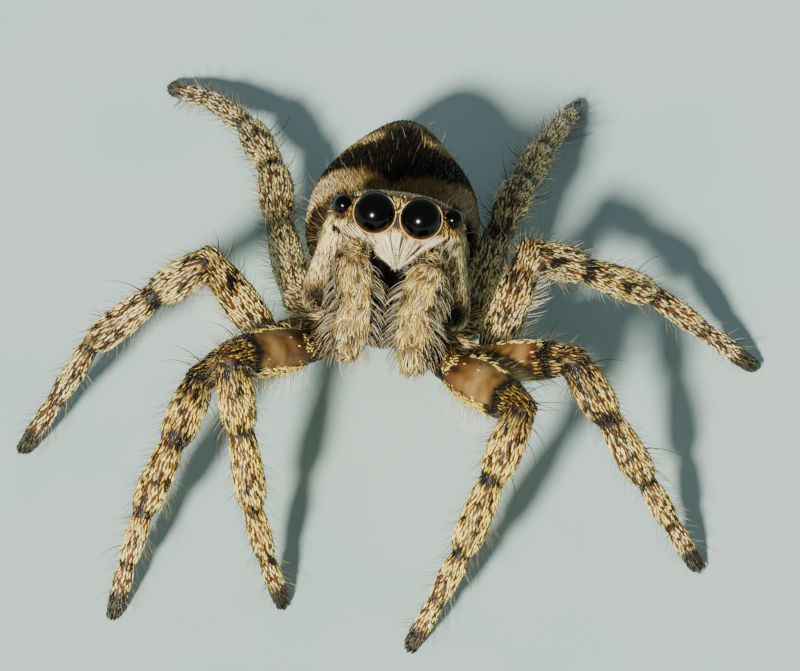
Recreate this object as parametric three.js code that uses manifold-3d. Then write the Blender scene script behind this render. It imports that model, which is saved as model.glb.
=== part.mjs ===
// A zebra jumping spider (Salticus scenicus, adult female), life size, standing with its head raised.
// Millimetres, +Z up. The floor is Z = 0, the spider faces -Y and its left side is +X.
// Every solid reaches out to the tips of the coat of scales and hairs.
import * as THREE from "three";
import { mergeVertices } from "three/addons/utils/BufferGeometryUtils.js";
import Module from "manifold-3d";

const wasm = await Module();
wasm.setup();

// Clearance between pieces that meet, and the distance under which two points are one.
const GAP = 0.015;
const SAME_POINT = 1e-5;
const SAME_PLACE = 1e-4;

// Fineness of the round solids: facets round a limb and steps in its domed ends, and for the
// other bodies facets round the long axis and steps along it.
const LIMB_SIDES = 8;
const CAP_STEPS = 2;
const CARAPACE_FACETS = [18, 11];
const ABDOMEN_FACETS = [18, 12];
const PLATE_FACETS = [8, 6];

// The front body (prosoma). Its own frame has X to the left, Y to the back and Z up, with the
// origin midway between the two great front eyes.
const FACE_AT = new THREE.Vector3(-0.11, -1.92, 3.54);
const HEAD_YAW = 1;
const HEAD_PITCH = 46;
const HEAD_ROLL = 4.9;

// The carapace, at equal steps from the face to the back edge.
const CARAPACE_LENGTH = 2.5;
const CARAPACE_HALF_WIDTHS = [0.76, 0.83, 0.89, 0.92, 0.86, 0.6];
const CARAPACE_TOPS = [0.25, 0.33, 0.35, 0.25, -0.1, -0.62];
const CARAPACE_UNDERSIDES = [-0.45, -0.82, -1.12, -1.2, -1.16, -1.02];
const CARAPACE_EAVES = -0.1;
const CARAPACE_LEAST_ROOF = 0.1;
const CARAPACE_FLARE = [0.04, 0.17, 0.23, 0.2, 0.1, 0];
const CARAPACE_ROOF_SQUARENESS = 2.6;
const CARAPACE_WALL_SQUARENESS = 5;
const CARAPACE_FACE_SQUARENESS = 7;
const CARAPACE_BACK_SQUARENESS = 2.6;

// The eyes: name, distance from the midline, back from the face, height, radius and facets round.
const EYES = [
  ["eye_front_middle", 0.273, 0.125, 0, 0.262, 12],
  ["eye_front_side", 0.648, 0.2, 0.06, 0.122, 8],
  ["eye_tiny", 0.745, 0.68, 0.13, 0.05, 6],
  ["eye_back", 0.705, 1.17, 0.16, 0.12, 8],
];

// The sternum, an oval plate between the legs, and the mouthparts ahead of it.
const STERNUM_AT = [0, 1.42, -1.2];
const STERNUM_HALF_SIZE = [0.4, 0.66, 0.3];
const MOUTHPARTS_AT = [0, 0.72, -1.2];
const MOUTHPARTS_HALF_SIZE = [0.42, 0.3, 0.34];

// The jaws (chelicerae) hang side by side under the face.
const JAW_TOP = [0.24, 0.2, -0.4];
const JAW_TIP = [0.22, 0.28, -1.3];
const JAW_RADII = [0.2, 0.225, 0.17];

// The palps: up and forward from beside the mouth, then down and inward in front of the jaws.
const PALP_BASE = [0.56, 0.62, -1.18];
const PALP_BEND = [0.48, -0.16, -0.64];
const PALP_WRIST = [0.35, -0.3, -1.12];
const PALP_TIP = [0.39, -0.38, -1.68];
const PALP_ARM_RADII = [0.24, 0.25, 0.26];
const PALP_HAND_RADII = [0.25, 0.3, 0.32, 0.33, 0.27];

// The hip (coxa) of each pair of legs starts beside the sternum and ends at the thigh's base.
const HIP_STARTS = [
  [0.4, 0.88, -1.24],
  [0.44, 1.22, -1.26],
  [0.42, 1.58, -1.22],
  [0.34, 1.92, -1.16],
];
const HIP_ENDS = [
  [0.84, 0.47, -1.65],
  [1.16, 0.94, -1.49],
  [1.27, 1.85, -1.51],
  [1.01, 2.26, -1.01],
];

// Length of femur, patella, tibia, metatarsus and tarsus, from the front pair to the back pair.
const LEG_LENGTHS = [
  [1.6, 0.88, 0.96, 0.65, 0.6],
  [1.38, 0.83, 0.91, 0.6, 0.59],
  [1.51, 0.74, 1, 0.82, 0.77],
  [1.88, 0.75, 1.17, 1.13, 0.78],
];

// Radii with the coat on, at the thickest part of the femur, at the knee and along the tibia.
const LEG_RADII = [
  { femur: 0.35, knee: 0.29, tibia: 0.29 },
  { femur: 0.31, knee: 0.28, tibia: 0.28 },
  { femur: 0.3, knee: 0.28, tibia: 0.28 },
  { femur: 0.3, knee: 0.27, tibia: 0.28 },
];
const HIP_RADIUS = 0.27;
const ANKLE_RADIUS = 0.255;
const FOOT_RADIUS = 0.25;
const TOE_LENGTH = 0.14;
const TOE_HEIGHT = 0.1;
const NEARLY_STRAIGHT = 0.9995;

// How each leg stands: where its toe rests on the floor, how far the leg's plane leans over, and
// the bends below the knee at the tibia, the metatarsus and the tarsus, in degrees.
const STANCES = {
  right: [
    { toe: [-1.2, -4.94], lean: 32, bends: [0, 9, 8] },
    { toe: [-3.14, -5.3], lean: 19, bends: [2, 8, 4] },
    { toe: [-4.33, -2.5], lean: 5, bends: [8, 21, 0] },
    { toe: [-2.89, 4.13], lean: 50, bends: [16, 14, 11] },
  ],
  left: [
    { toe: [0.36, -5.56], lean: -42, bends: [0, 8, 4] },
    { toe: [3.63, -3.87], lean: -2, bends: [2, 0, 0] },
    { toe: [4.18, -0.25], lean: -38, bends: [3, 15, 0] },
    { toe: [1.94, 4.22], lean: -2, bends: [4, 4, 4] },
  ],
};

// The abdomen, an egg behind the waist that narrows to its tail, with its half widths and heights
// at equal steps from its front, and the spinnerets at its tip.
const ABDOMEN_AT = new THREE.Vector3(-0.15, 0.95, 1.08);
const ABDOMEN_YAW = -3;
const ABDOMEN_SLOPE = 11;
const ABDOMEN_ROLL = 2.3;
const ABDOMEN_HALF_LENGTH = 1.7;
const ABDOMEN_HALF_WIDTHS = [0.95, 1.07, 1.04, 0.75, 0.55];
const ABDOMEN_TOPS = [0.9, 0.98, 0.99, 0.95, 0.88];
const ABDOMEN_BELLY = 0.84;
const ABDOMEN_FRONT_SQUARENESS = 2.5;
const ABDOMEN_TAIL_SQUARENESS = 2;
const SPINNERET_AT = [0, 1.72, -0.16];
const SPINNERET_LENGTH = 0.3;
const SPINNERET_DROOP = 0.08;
const SPINNERET_RADIUS = 0.17;
const SPINNERET_TAPER = 0.7;

// The waist (pedicel) from the back of the carapace into the front of the abdomen.
const WAIST_START = [0, 2.2, -0.86];
const WAIST_END = [0, -1.35, -0.12];
const WAIST_RADIUS = 0.26;

const COLOURS = {
  carapace: { color: 0x8d7b62, roughness: 0.75, metalness: 0 },
  eye: { color: 0x050404, roughness: 0.06, metalness: 0 },
  underside: { color: 0x5a4434, roughness: 0.7, metalness: 0 },
  jaw: { color: 0x17100c, roughness: 0.35, metalness: 0 },
  palp: { color: 0xb09a78, roughness: 0.8, metalness: 0 },
  femur: { color: 0x9a6f45, roughness: 0.7, metalness: 0 },
  leg: { color: 0xb89a55, roughness: 0.7, metalness: 0 },
  foot: { color: 0x9d8348, roughness: 0.7, metalness: 0 },
  abdomen: { color: 0x2c261f, roughness: 0.8, metalness: 0 },
};

// ---- Solids -------------------------------------------------------------------------------

function toSolid(geometry) {
  geometry.deleteAttribute("normal");
  geometry.deleteAttribute("uv");
  const merged = mergeVertices(geometry, SAME_POINT);
  const mesh = new wasm.Mesh({
    numProp: 3,
    vertProperties: merged.attributes.position.array,
    triVerts: new Uint32Array(merged.index.array),
  });
  return new wasm.Manifold(mesh);
}

function toGeometry(solid) {
  const mesh = solid.getMesh();
  const geometry = new THREE.BufferGeometry();
  geometry.setAttribute("position", new THREE.BufferAttribute(mesh.vertProperties, 3));
  geometry.setIndex(new THREE.BufferAttribute(mesh.triVerts, 1));
  geometry.computeVertexNormals();
  return geometry;
}

// A cut can leave a sliver beside the piece, so the largest body is the piece.
function largestBody(solid) {
  const bodies = solid.decompose();
  return bodies.reduce((most, body) => (body.volume() > most.volume() ? body : most));
}

// A unit sphere, poles front and back along Y, with each of its points moved by a function.
function moulded([around, along], frame, move) {
  const geometry = new THREE.SphereGeometry(1, around, along);
  const points = geometry.attributes.position;
  for (let i = 0; i < points.count; i += 1) {
    const moved = move(points.getX(i), points.getY(i), points.getZ(i));
    points.setXYZ(i, moved.x, moved.y, moved.z);
  }
  return toSolid(geometry.applyMatrix4(frame));
}

// Unit direction of a point round the long axis, and how far a body narrows towards its ends.
function direction(x, z) {
  const reach = Math.hypot(x, z);
  return reach > SAME_POINT ? [x / reach, z / reach] : [1, 0];
}

function roundedEnd(y, frontSquareness, backSquareness) {
  const squareness = y < 0 ? frontSquareness : backSquareness;
  return Math.max(0, 1 - Math.abs(y) ** squareness) ** (1 / squareness);
}

// Length of the unit direction (c, s) out to a rounded square: 2 is a circle, more is squarer.
function squircle(c, s, squareness) {
  return (Math.abs(c) ** squareness + Math.abs(s) ** squareness) ** (-1 / squareness);
}

// Value at a share t of the way along a smooth curve through equally spaced heights.
function smoothed(heights, t) {
  const points = heights.map((height, i) => new THREE.Vector2(i, height));
  return new THREE.SplineCurve(points).getPoint(THREE.MathUtils.clamp(t, 0, 1)).y;
}

function ellipsoid(frame, at, halfSize, grow) {
  return moulded(PLATE_FACETS, frame, (x, y, z) => new THREE.Vector3(
    at[0] + x * (halfSize[0] + grow),
    at[1] + y * (halfSize[1] + grow),
    at[2] + z * (halfSize[2] + grow),
  ));
}

// A quarter round from the long axis out to the side, as [across, along] shares of its radius.
function quarterRound() {
  const steps = [...Array(CAP_STEPS + 1).keys()];
  return steps.map((i) => {
    const angle = (Math.PI / 2) * (i / CAP_STEPS);
    return [i ? Math.sin(angle) : 0, Math.cos(angle)];
  });
}

// A rounded limb of one or two stretches. Its radii are those at its start and at the middle and
// the end of each stretch, and its ends are domes.
function limb(points, radii, grow, endCap = radii[radii.length - 1]) {
  const ways = points.slice(1).map((point, i) => point.clone().sub(points[i]));
  const stops = [0];
  ways.forEach((way) => stops.push(stops[stops.length - 1] + way.length()));
  ways.forEach((way) => way.normalize());
  const length = stops[stops.length - 1];

  const profile = quarterRound().map(([across, along]) => new THREE.Vector2(
    across * (radii[0] + grow),
    -along * (radii[0] + grow),
  ));
  radii.slice(1, -1).forEach((radius, i) => {
    const at = i % 2 ? stops[(i + 1) / 2] : (stops[i / 2] + stops[i / 2 + 1]) / 2;
    profile.push(new THREE.Vector2(radius + grow, at));
  });
  quarterRound().reverse().forEach(([across, along]) => profile.push(new THREE.Vector2(
    across * (radii[radii.length - 1] + grow),
    length + along * (endCap + grow),
  )));

  // The lathed limb stands along Y, so each ring is moved to its place along the points.
  const beside = new THREE.Vector3().crossVectors(ways[0], ways[ways.length - 1]);
  if (beside.length() < SAME_PLACE) beside.set(0, 0, 1);
  beside.addScaledVector(ways[0], -beside.dot(ways[0])).normalize();
  const geometry = new THREE.LatheGeometry(profile, LIMB_SIDES);
  const spots = geometry.attributes.position;
  for (let i = 0; i < spots.count; i += 1) {
    const at = spots.getY(i);
    const beyondBend = ways.length > 1 && at > stops[1] - SAME_PLACE;
    const onBend = beyondBend && at < stops[1] + SAME_PLACE;
    const stretch = beyondBend ? 1 : 0;
    const heading = ways[stretch].clone();
    if (onBend) heading.add(ways[0]).normalize();
    const above = new THREE.Vector3().crossVectors(beside, heading).normalize();
    const spot = points[stretch].clone()
      .addScaledVector(ways[stretch], at - stops[stretch])
      .addScaledVector(beside, spots.getX(i))
      .addScaledVector(above, spots.getZ(i));
    spots.setXYZ(i, spot.x, spot.y, spot.z);
  }
  return toSolid(geometry);
}

// ---- Frames -------------------------------------------------------------------------------

function frameAt(position, yaw, pitch, roll) {
  const degrees = Math.PI / 180;
  const turn = new THREE.Matrix4()
    .multiply(new THREE.Matrix4().makeRotationZ(yaw * degrees))
    .multiply(new THREE.Matrix4().makeRotationX(-pitch * degrees))
    .multiply(new THREE.Matrix4().makeRotationY(roll * degrees));
  return turn.setPosition(position);
}

const PROSOMA = frameAt(FACE_AT, HEAD_YAW, HEAD_PITCH, HEAD_ROLL);
const OPISTHOSOMA = frameAt(ABDOMEN_AT, ABDOMEN_YAW, ABDOMEN_SLOPE, ABDOMEN_ROLL);

// A point of the prosoma on one side of the body: side is 1 on the left and -1 on the right.
function prosomaPoint(at, side) {
  return new THREE.Vector3(side * at[0], at[1], at[2]).applyMatrix4(PROSOMA);
}

// ---- Body ---------------------------------------------------------------------------------

function carapace(grow) {
  return moulded(CARAPACE_FACETS, PROSOMA, (x, y, z) => {
    const share = (1 + y) / 2;
    const closing = roundedEnd(y, CARAPACE_FACE_SQUARENESS, CARAPACE_BACK_SQUARENESS);
    const [c, s] = direction(x, z);
    const roof = z >= 0;
    const corner = squircle(c, s, roof ? CARAPACE_ROOF_SQUARENESS : CARAPACE_WALL_SQUARENESS);
    const top = smoothed(CARAPACE_TOPS, share) + grow;
    const bottom = smoothed(CARAPACE_UNDERSIDES, share) - grow;
    const eaves = Math.min(CARAPACE_EAVES, (top + bottom) / 2 + CARAPACE_LEAST_ROOF);
    const drop = roof ? 0 : -s * corner;
    const flare = 1 + smoothed(CARAPACE_FLARE, share) * drop;
    const width = (smoothed(CARAPACE_HALF_WIDTHS, share) + grow) * flare;
    const height = roof ? top - eaves : eaves - bottom;
    return new THREE.Vector3(
      c * corner * width * closing,
      -grow + share * (CARAPACE_LENGTH + 2 * grow),
      eaves + s * corner * height * closing,
    );
  });
}

function eye([, across, back, height, radius, sides], side, grow) {
  const size = radius + grow;
  return moulded([sides, sides / 2], PROSOMA, (x, y, z) => new THREE.Vector3(
    side * across + x * size,
    back + y * size,
    height + z * size,
  ));
}

function jaw(side, grow) {
  return limb([prosomaPoint(JAW_TOP, side), prosomaPoint(JAW_TIP, side)], JAW_RADII, grow);
}

function palp(side, grow) {
  const [base, bend, wrist, tip] = [PALP_BASE, PALP_BEND, PALP_WRIST, PALP_TIP]
    .map((at) => prosomaPoint(at, side));
  const arm = limb([base, bend], PALP_ARM_RADII, grow);
  return arm.add(limb([bend, wrist, tip], PALP_HAND_RADII, grow));
}

function abdomen(grow) {
  return moulded(ABDOMEN_FACETS, OPISTHOSOMA, (x, y, z) => {
    const share = (1 + y) / 2;
    const closing = roundedEnd(y, ABDOMEN_FRONT_SQUARENESS, ABDOMEN_TAIL_SQUARENESS);
    const [c, s] = direction(x, z);
    const width = smoothed(ABDOMEN_HALF_WIDTHS, share) + grow;
    const height = (z > 0 ? smoothed(ABDOMEN_TOPS, share) : ABDOMEN_BELLY) + grow;
    return new THREE.Vector3(
      c * closing * width,
      y * (ABDOMEN_HALF_LENGTH + grow),
      s * closing * height,
    );
  });
}

function spinnerets(grow) {
  const from = new THREE.Vector3(...SPINNERET_AT).applyMatrix4(OPISTHOSOMA);
  const [x, y, z] = SPINNERET_AT;
  const to = new THREE.Vector3(x, y + SPINNERET_LENGTH, z - SPINNERET_DROOP);
  const radii = [SPINNERET_RADIUS, SPINNERET_RADIUS, SPINNERET_RADIUS * SPINNERET_TAPER];
  return limb([from, to.applyMatrix4(OPISTHOSOMA)], radii, grow);
}

function waist(grow) {
  const to = new THREE.Vector3(...WAIST_END).applyMatrix4(OPISTHOSOMA);
  const radii = [WAIST_RADIUS, WAIST_RADIUS, WAIST_RADIUS];
  return limb([prosomaPoint(WAIST_START, 1), to], radii, grow);
}

// ---- Legs ---------------------------------------------------------------------------------

// The joints of one leg: base of the femur, knee, then the ends of the patella, the tibia, the
// metatarsus and the tarsus. The leg lies in one plane, raised at the knee, with its toe down.
function legJoints(base, toe, lean, bends, lengths) {
  const degrees = Math.PI / 180;
  const headings = [0];
  bends.forEach((bend, i) => headings.push(headings[i] - bend * degrees));
  const shin = new THREE.Vector2();
  const steps = headings.map((heading, i) => new THREE.Vector2(
    Math.cos(heading) * lengths[i + 1],
    Math.sin(heading) * lengths[i + 1],
  ));
  steps.forEach((step) => shin.add(step));
  const [thigh, shank] = [lengths[0], shin.length()];
  const reach = toe.clone().sub(base);
  const span = Math.min(reach.length(), (thigh + shank) * NEARLY_STRAIGHT);
  const out = reach.clone().normalize();
  const up = new THREE.Vector3(0, 0, 1).addScaledVector(out, -out.z).normalize();
  const beside = new THREE.Vector3().crossVectors(out, up);
  const raised = up.multiplyScalar(Math.cos(lean * degrees))
    .addScaledVector(beside, Math.sin(lean * degrees));
  const angle = Math.acos((thigh ** 2 + span ** 2 - shank ** 2) / (2 * thigh * span));
  const knee = base.clone()
    .addScaledVector(out, thigh * Math.cos(angle))
    .addScaledVector(raised, thigh * Math.sin(angle));
  const down = toe.clone().sub(knee).normalize();
  const outward = raised.addScaledVector(down, -raised.dot(down)).normalize();
  const joints = [base, knee];
  headings.forEach((heading, i) => {
    const turned = heading - shin.angle();
    joints.push(joints[i + 1].clone()
      .addScaledVector(down, lengths[i + 1] * Math.cos(turned))
      .addScaledVector(outward, lengths[i + 1] * Math.sin(turned)));
  });
  return joints;
}

// Below the floor there is nothing, so each foot ends in a small flat there.
const FLOOR_WIDTH = 20;
const FLOOR_DEPTH = 2;
const FLOOR_BLOCK = toSolid(
  new THREE.BoxGeometry(FLOOR_WIDTH, FLOOR_WIDTH, FLOOR_DEPTH).translate(0, 0, -FLOOR_DEPTH / 2),
);

function legPieces(side, pair) {
  const { toe, lean, bends } = STANCES[side > 0 ? "left" : "right"][pair];
  const { femur, knee, tibia } = LEG_RADII[pair];
  const start = prosomaPoint(HIP_STARTS[pair], side);
  const base = prosomaPoint(HIP_ENDS[pair], side);
  const joints = legJoints(
    base, new THREE.Vector3(...toe, TOE_HEIGHT), lean, bends, LEG_LENGTHS[pair],
  );
  const hipRadii = [HIP_RADIUS, HIP_RADIUS, HIP_RADIUS];
  const femurRadii = [HIP_RADIUS, femur, knee];
  const tibiaRadii = [knee, knee, tibia, tibia, ANKLE_RADIUS];
  const footRadii = [ANKLE_RADIUS, FOOT_RADIUS, FOOT_RADIUS, FOOT_RADIUS, FOOT_RADIUS];
  return {
    coxa: (grow) => limb([start, base], hipRadii, grow),
    femur: (grow) => limb(joints.slice(0, 2), femurRadii, grow),
    tibia: (grow) => limb(joints.slice(1, 4), tibiaRadii, grow),
    foot: (grow) => limb(joints.slice(3, 6), footRadii, grow, TOE_LENGTH).subtract(FLOOR_BLOCK),
  };
}

// ---- Assembly -----------------------------------------------------------------------------

// Pieces in the order in which they are fitted: each gives way to all that come before it.
const pieces = [];

function addPiece(region, name, colour, build) {
  pieces.push({ region, name, colour, build });
}

const SIDES = { left: 1, right: -1 };

EYES.forEach((spec) => {
  Object.entries(SIDES).forEach(([word, side]) => {
    addPiece("prosoma", `${spec[0]}_${word}`, "eye", (grow) => eye(spec, side, grow));
  });
});
addPiece("prosoma", "carapace", "carapace", carapace);
addPiece("prosoma", "sternum", "underside", (grow) => (
  ellipsoid(PROSOMA, STERNUM_AT, STERNUM_HALF_SIZE, grow)
));
addPiece("prosoma", "mouthparts", "underside", (grow) => (
  ellipsoid(PROSOMA, MOUTHPARTS_AT, MOUTHPARTS_HALF_SIZE, grow)
));
Object.entries(SIDES).forEach(([word, side]) => {
  addPiece("prosoma", `palp_${word}`, "palp", (grow) => palp(side, grow));
  addPiece("prosoma", `chelicera_${word}`, "jaw", (grow) => jaw(side, grow));
});
addPiece("opisthosoma", "abdomen", "abdomen", abdomen);
addPiece("opisthosoma", "pedicel", "underside", waist);
addPiece("opisthosoma", "spinnerets", "underside", spinnerets);

const LEG_COLOURS = { coxa: "femur", femur: "femur", tibia: "leg", foot: "foot" };
for (let pair = 0; pair < LEG_LENGTHS.length; pair += 1) {
  Object.entries(SIDES).forEach(([word, side]) => {
    Object.entries(legPieces(side, pair)).forEach(([part, build]) => {
      const leg = `leg_${word}_${pair + 1}`;
      addPiece(leg, `${leg}_${part}`, LEG_COLOURS[part], build);
    });
  });
}

function boxesMeet(a, b) {
  return a.min.every((low, axis) => low <= b.max[axis] && b.min[axis] <= a.max[axis]);
}

const spider = new THREE.Group();
const regions = new Map();
const fitted = [];

pieces.forEach(({ region, name, colour, build }) => {
  let solid = build(0);
  fitted.forEach((earlier) => {
    if (boxesMeet(solid.boundingBox(), earlier.boundingBox())) solid = solid.subtract(earlier);
  });
  fitted.push(build(GAP));
  const mesh = new THREE.Mesh(
    toGeometry(largestBody(solid)),
    new THREE.MeshStandardMaterial(COLOURS[colour]),
  );
  mesh.name = name;
  if (!regions.has(region)) {
    const group = new THREE.Group();
    group.name = region;
    regions.set(region, group);
    spider.add(group);
  }
  regions.get(region).add(mesh);
});

// The frame's origin is on the floor, under the middle of the whole spider.
const middle = new THREE.Box3().setFromObject(spider).getCenter(new THREE.Vector3());
spider.position.set(-middle.x, -middle.y, 0);

export default spider;
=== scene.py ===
# A zebra jumping spider, life size, facing -Y with its head raised: the skin, eyes, jaws and coat of
# hairs and scales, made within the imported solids. Shapes are worked out in millimetres and go to metres
# as each piece is finished.
import math

import bmesh
import bpy
import numpy as np
from mathutils import Matrix, Vector, noise
from mathutils.kdtree import KDTree


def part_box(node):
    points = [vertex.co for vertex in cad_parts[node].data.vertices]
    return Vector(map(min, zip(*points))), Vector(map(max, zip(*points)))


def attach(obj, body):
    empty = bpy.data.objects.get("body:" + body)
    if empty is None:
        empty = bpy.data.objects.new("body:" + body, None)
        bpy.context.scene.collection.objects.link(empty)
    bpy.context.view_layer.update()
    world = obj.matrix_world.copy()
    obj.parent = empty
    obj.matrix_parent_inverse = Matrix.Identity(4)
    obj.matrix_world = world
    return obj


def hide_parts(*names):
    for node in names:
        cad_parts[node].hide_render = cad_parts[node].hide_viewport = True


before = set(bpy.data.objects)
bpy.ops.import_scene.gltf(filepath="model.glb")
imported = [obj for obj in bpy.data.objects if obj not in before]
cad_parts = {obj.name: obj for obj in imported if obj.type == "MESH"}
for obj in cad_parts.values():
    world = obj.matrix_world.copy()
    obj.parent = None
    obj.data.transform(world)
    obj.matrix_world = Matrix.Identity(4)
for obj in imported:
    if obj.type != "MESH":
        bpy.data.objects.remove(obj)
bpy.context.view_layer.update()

# ---- Camera, floor and light ----------------------------------------------------------------
# The camera looks down at the face from in front, a little tilted. The spider stands on a plain pale
# floor, under one low light from its front right with slightly soft shadows, in a pale room.

MM = 0.001
VIEW_DOWN = math.radians(41.2)
VIEW_TILT = math.radians(3.5)
VIEW_DISTANCE = 250
VIEW_WIDTH = 9.524
VIEW_MIDDLE = Vector((0.086, 0.696, 0))

camera = bpy.data.objects.new("camera", bpy.data.cameras.new("camera"))
camera.matrix_world = (
    Matrix.Translation(VIEW_MIDDLE * MM)
    @ Matrix.Rotation(math.pi / 2 - VIEW_DOWN, 4, "X")
    @ Matrix.Rotation(VIEW_TILT, 4, "Z")
    @ Matrix.Translation((0, 0, VIEW_DISTANCE * MM))
)
camera.data.lens = camera.data.sensor_width * VIEW_DISTANCE / VIEW_WIDTH
camera.data.clip_start = 0.001
bpy.context.scene.collection.objects.link(camera)
bpy.context.scene.camera = camera

KEY_LIGHT_GOES = Vector((0.46, 1.65, -1.0))
KEY_LIGHT_SPREAD = math.radians(5)


def linear(colour):
    """An sRGB hex colour as linear red, green, blue and alpha."""
    parts = [int(colour[i : i + 2], 16) / 255 for i in (1, 3, 5)]
    return [c / 12.92 if c <= 0.04045 else ((c + 0.055) / 1.055) ** 2.4 for c in parts] + [1]


key = bpy.data.objects.new("key_light", bpy.data.lights.new("key_light", "SUN"))
key.data.energy = 12.2
key.data.angle = KEY_LIGHT_SPREAD
key.data.color = linear("#fff3de")[:3]
key.rotation_euler = KEY_LIGHT_GOES.to_track_quat("-Z", "Y").to_euler()
bpy.context.scene.collection.objects.link(key)


def add(tree, kind, settings={}, inputs={}):
    """Adds a node with its settings, and its inputs by name: a value or another node's output."""
    made = tree.nodes.new(kind)
    for name, value in settings.items():
        if name == "stops":
            ramp = made.color_ramp.elements
            while len(ramp) < len(value):
                ramp.new(0.5)
            for stop, (place, colour) in zip(ramp, value):
                stop.position = place
                stop.color = linear(colour)
        else:
            setattr(made, name, value)
    for name, value in inputs.items():
        if isinstance(value, bpy.types.NodeSocket):
            tree.links.new(value, made.inputs[name])
        else:
            made.inputs[name].default_value = value
    return made


def new_material(name):
    """A material with an empty node tree, and that tree."""
    material = bpy.data.materials.new(name)
    material.use_nodes = True
    material.node_tree.nodes.clear()
    return material, material.node_tree


room = bpy.data.worlds.new("room")
room.use_nodes = True
room.node_tree.nodes.clear()
sky = add(room.node_tree, "ShaderNodeBackground", inputs={"Color": linear("#d8dedc"), "Strength": 0.36})
add(room.node_tree, "ShaderNodeOutputWorld", inputs={"Surface": sky.outputs[0]})
bpy.context.scene.world = room


def finished(name, bm, material):
    """Puts a bmesh made in millimetres into the scene as an object in metres."""
    bmesh.ops.scale(bm, vec=(MM, MM, MM), verts=bm.verts)
    mesh = bpy.data.meshes.new(name)
    bm.to_mesh(mesh)
    bm.free()
    mesh.materials.append(material)
    mesh.polygons.foreach_set("use_smooth", [True] * len(mesh.polygons))
    piece = bpy.data.objects.new(name, mesh)
    bpy.context.scene.collection.objects.link(piece)
    return piece


# Matt painted board: pale blue-grey, with a trace of unevenness.
board, tree = new_material("painted_board")
place = add(tree, "ShaderNodeTexCoord")
uneven = add(tree, "ShaderNodeTexNoise", inputs={"Vector": place.outputs["Object"], "Scale": 0.35 / MM})
tone = add(tree, "ShaderNodeValToRGB", {"stops": [(0.3, "#a3c2c6"), (0.7, "#accacd")]},
           {"Fac": uneven.outputs["Fac"]})
paint = add(tree, "ShaderNodeBsdfPrincipled", inputs={"Base Color": tone.outputs["Color"], "Roughness": 0.85})
add(tree, "ShaderNodeOutputMaterial", inputs={"Surface": paint.outputs[0]})

FLOOR_HALF_WIDTH = 400
bm = bmesh.new()
bmesh.ops.create_grid(bm, x_segments=1, y_segments=1, size=FLOOR_HALF_WIDTH)
floor = finished("floor", bm, board)

# ---- Skin -----------------------------------------------------------------------------------
# The spider's outer skin is one hard cuticle: carapace, abdomen, palps and legs run into each other
# through soft joints. It lies under the solids' surface by the depth of the coat.

BODY = "root"


def body_frame(at, yaw, pitch, roll):
    """The frame of a part of the body, raised by its pitch. The angles are in degrees."""
    return (
        Matrix.Translation(at)
        @ Matrix.Rotation(math.radians(yaw), 4, "Z")
        @ Matrix.Rotation(math.radians(-pitch), 4, "X")
        @ Matrix.Rotation(math.radians(roll), 4, "Y")
    )


# Both frames and the toes are set out about the same origin, which the frame puts where it is by the
# two great front eyes: their middle lies this far behind the face.
EYE_SET_BACK = 0.125
head = body_frame((-0.11, -1.92, 3.54), 1, 46, 4.9)
abdomen = body_frame((-0.15, 0.95, 1.08), -3, 11, 2.3)
corners = [Vector(c) for side in ("left", "right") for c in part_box("eye_front_middle_" + side)]
eyes_at = sum(corners, Vector()) / len(corners) / MM
origin = eyes_at - head @ Vector((0, EYE_SET_BACK, 0))
head = Matrix.Translation(origin) @ head
abdomen = Matrix.Translation(origin) @ abdomen


def curve(heights, share):
    """Values at shares 0 to 1 along a smooth curve through equally spaced heights."""
    heights = np.asarray(heights, float)
    last = len(heights) - 1
    place = np.clip(share, 0, 1) * last
    i = np.minimum(place.astype(int), last - 1)
    t = place - i
    p0, p1, p2, p3 = (heights[np.clip(i + k, 0, last)] for k in (-1, 0, 1, 2))
    v0, v1 = (p2 - p0) / 2, (p3 - p1) / 2
    return (2 * p1 - 2 * p2 + v0 + v1) * t**3 + (3 * p2 - 3 * p1 - 2 * v0 - v1) * t**2 + v0 * t + p1


def rounded_end(y, front, back):
    """How far a body has narrowed at y, from -1 in front to 1 behind."""
    squareness = np.where(y < 0, front, back)
    return np.maximum(0, 1 - np.abs(y) ** squareness) ** (1 / squareness)


def ball_shares(points):
    """For points of a unit ball: y, the unit direction (c, s) round the Y axis."""
    x, y, z = points.T
    reach = np.maximum(np.hypot(x, z), 1e-9)
    return y, x / reach, z / reach


CARAPACE_LENGTH = 2.5
CARAPACE_COAT = 0.035


def carapace_shape(points):
    """The carapace's surface, square in front and round behind, in the head's frame."""
    y, c, s = ball_shares(points)
    share = (1 + y) / 2
    closing = rounded_end(y, 7, 2.6)
    roof = s >= 0
    squareness = np.where(roof, 2.6, 5)
    corner = (np.abs(c) ** squareness + np.abs(s) ** squareness) ** (-1 / squareness)
    top = curve([0.25, 0.33, 0.35, 0.25, -0.1, -0.62], share) - CARAPACE_COAT
    bottom = curve([-0.45, -0.82, -1.12, -1.2, -1.16, -1.02], share) + CARAPACE_COAT
    eaves = np.minimum(-0.1, (top + bottom) / 2 + 0.1)
    drop = np.where(roof, 0, -s * corner)
    flare = 1 + curve([0.04, 0.17, 0.23, 0.2, 0.1, 0], share) * drop
    width = (curve([0.76, 0.83, 0.89, 0.92, 0.86, 0.6], share) - CARAPACE_COAT) * flare
    height = np.where(roof, top - eaves, eaves - bottom)
    return np.stack([
        c * corner * width * closing,
        CARAPACE_COAT + share * (CARAPACE_LENGTH - 2 * CARAPACE_COAT),
        eaves + s * corner * height * closing,
    ], 1)


ABDOMEN_HALF_LENGTH = 1.7
ABDOMEN_COAT = 0.045


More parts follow.
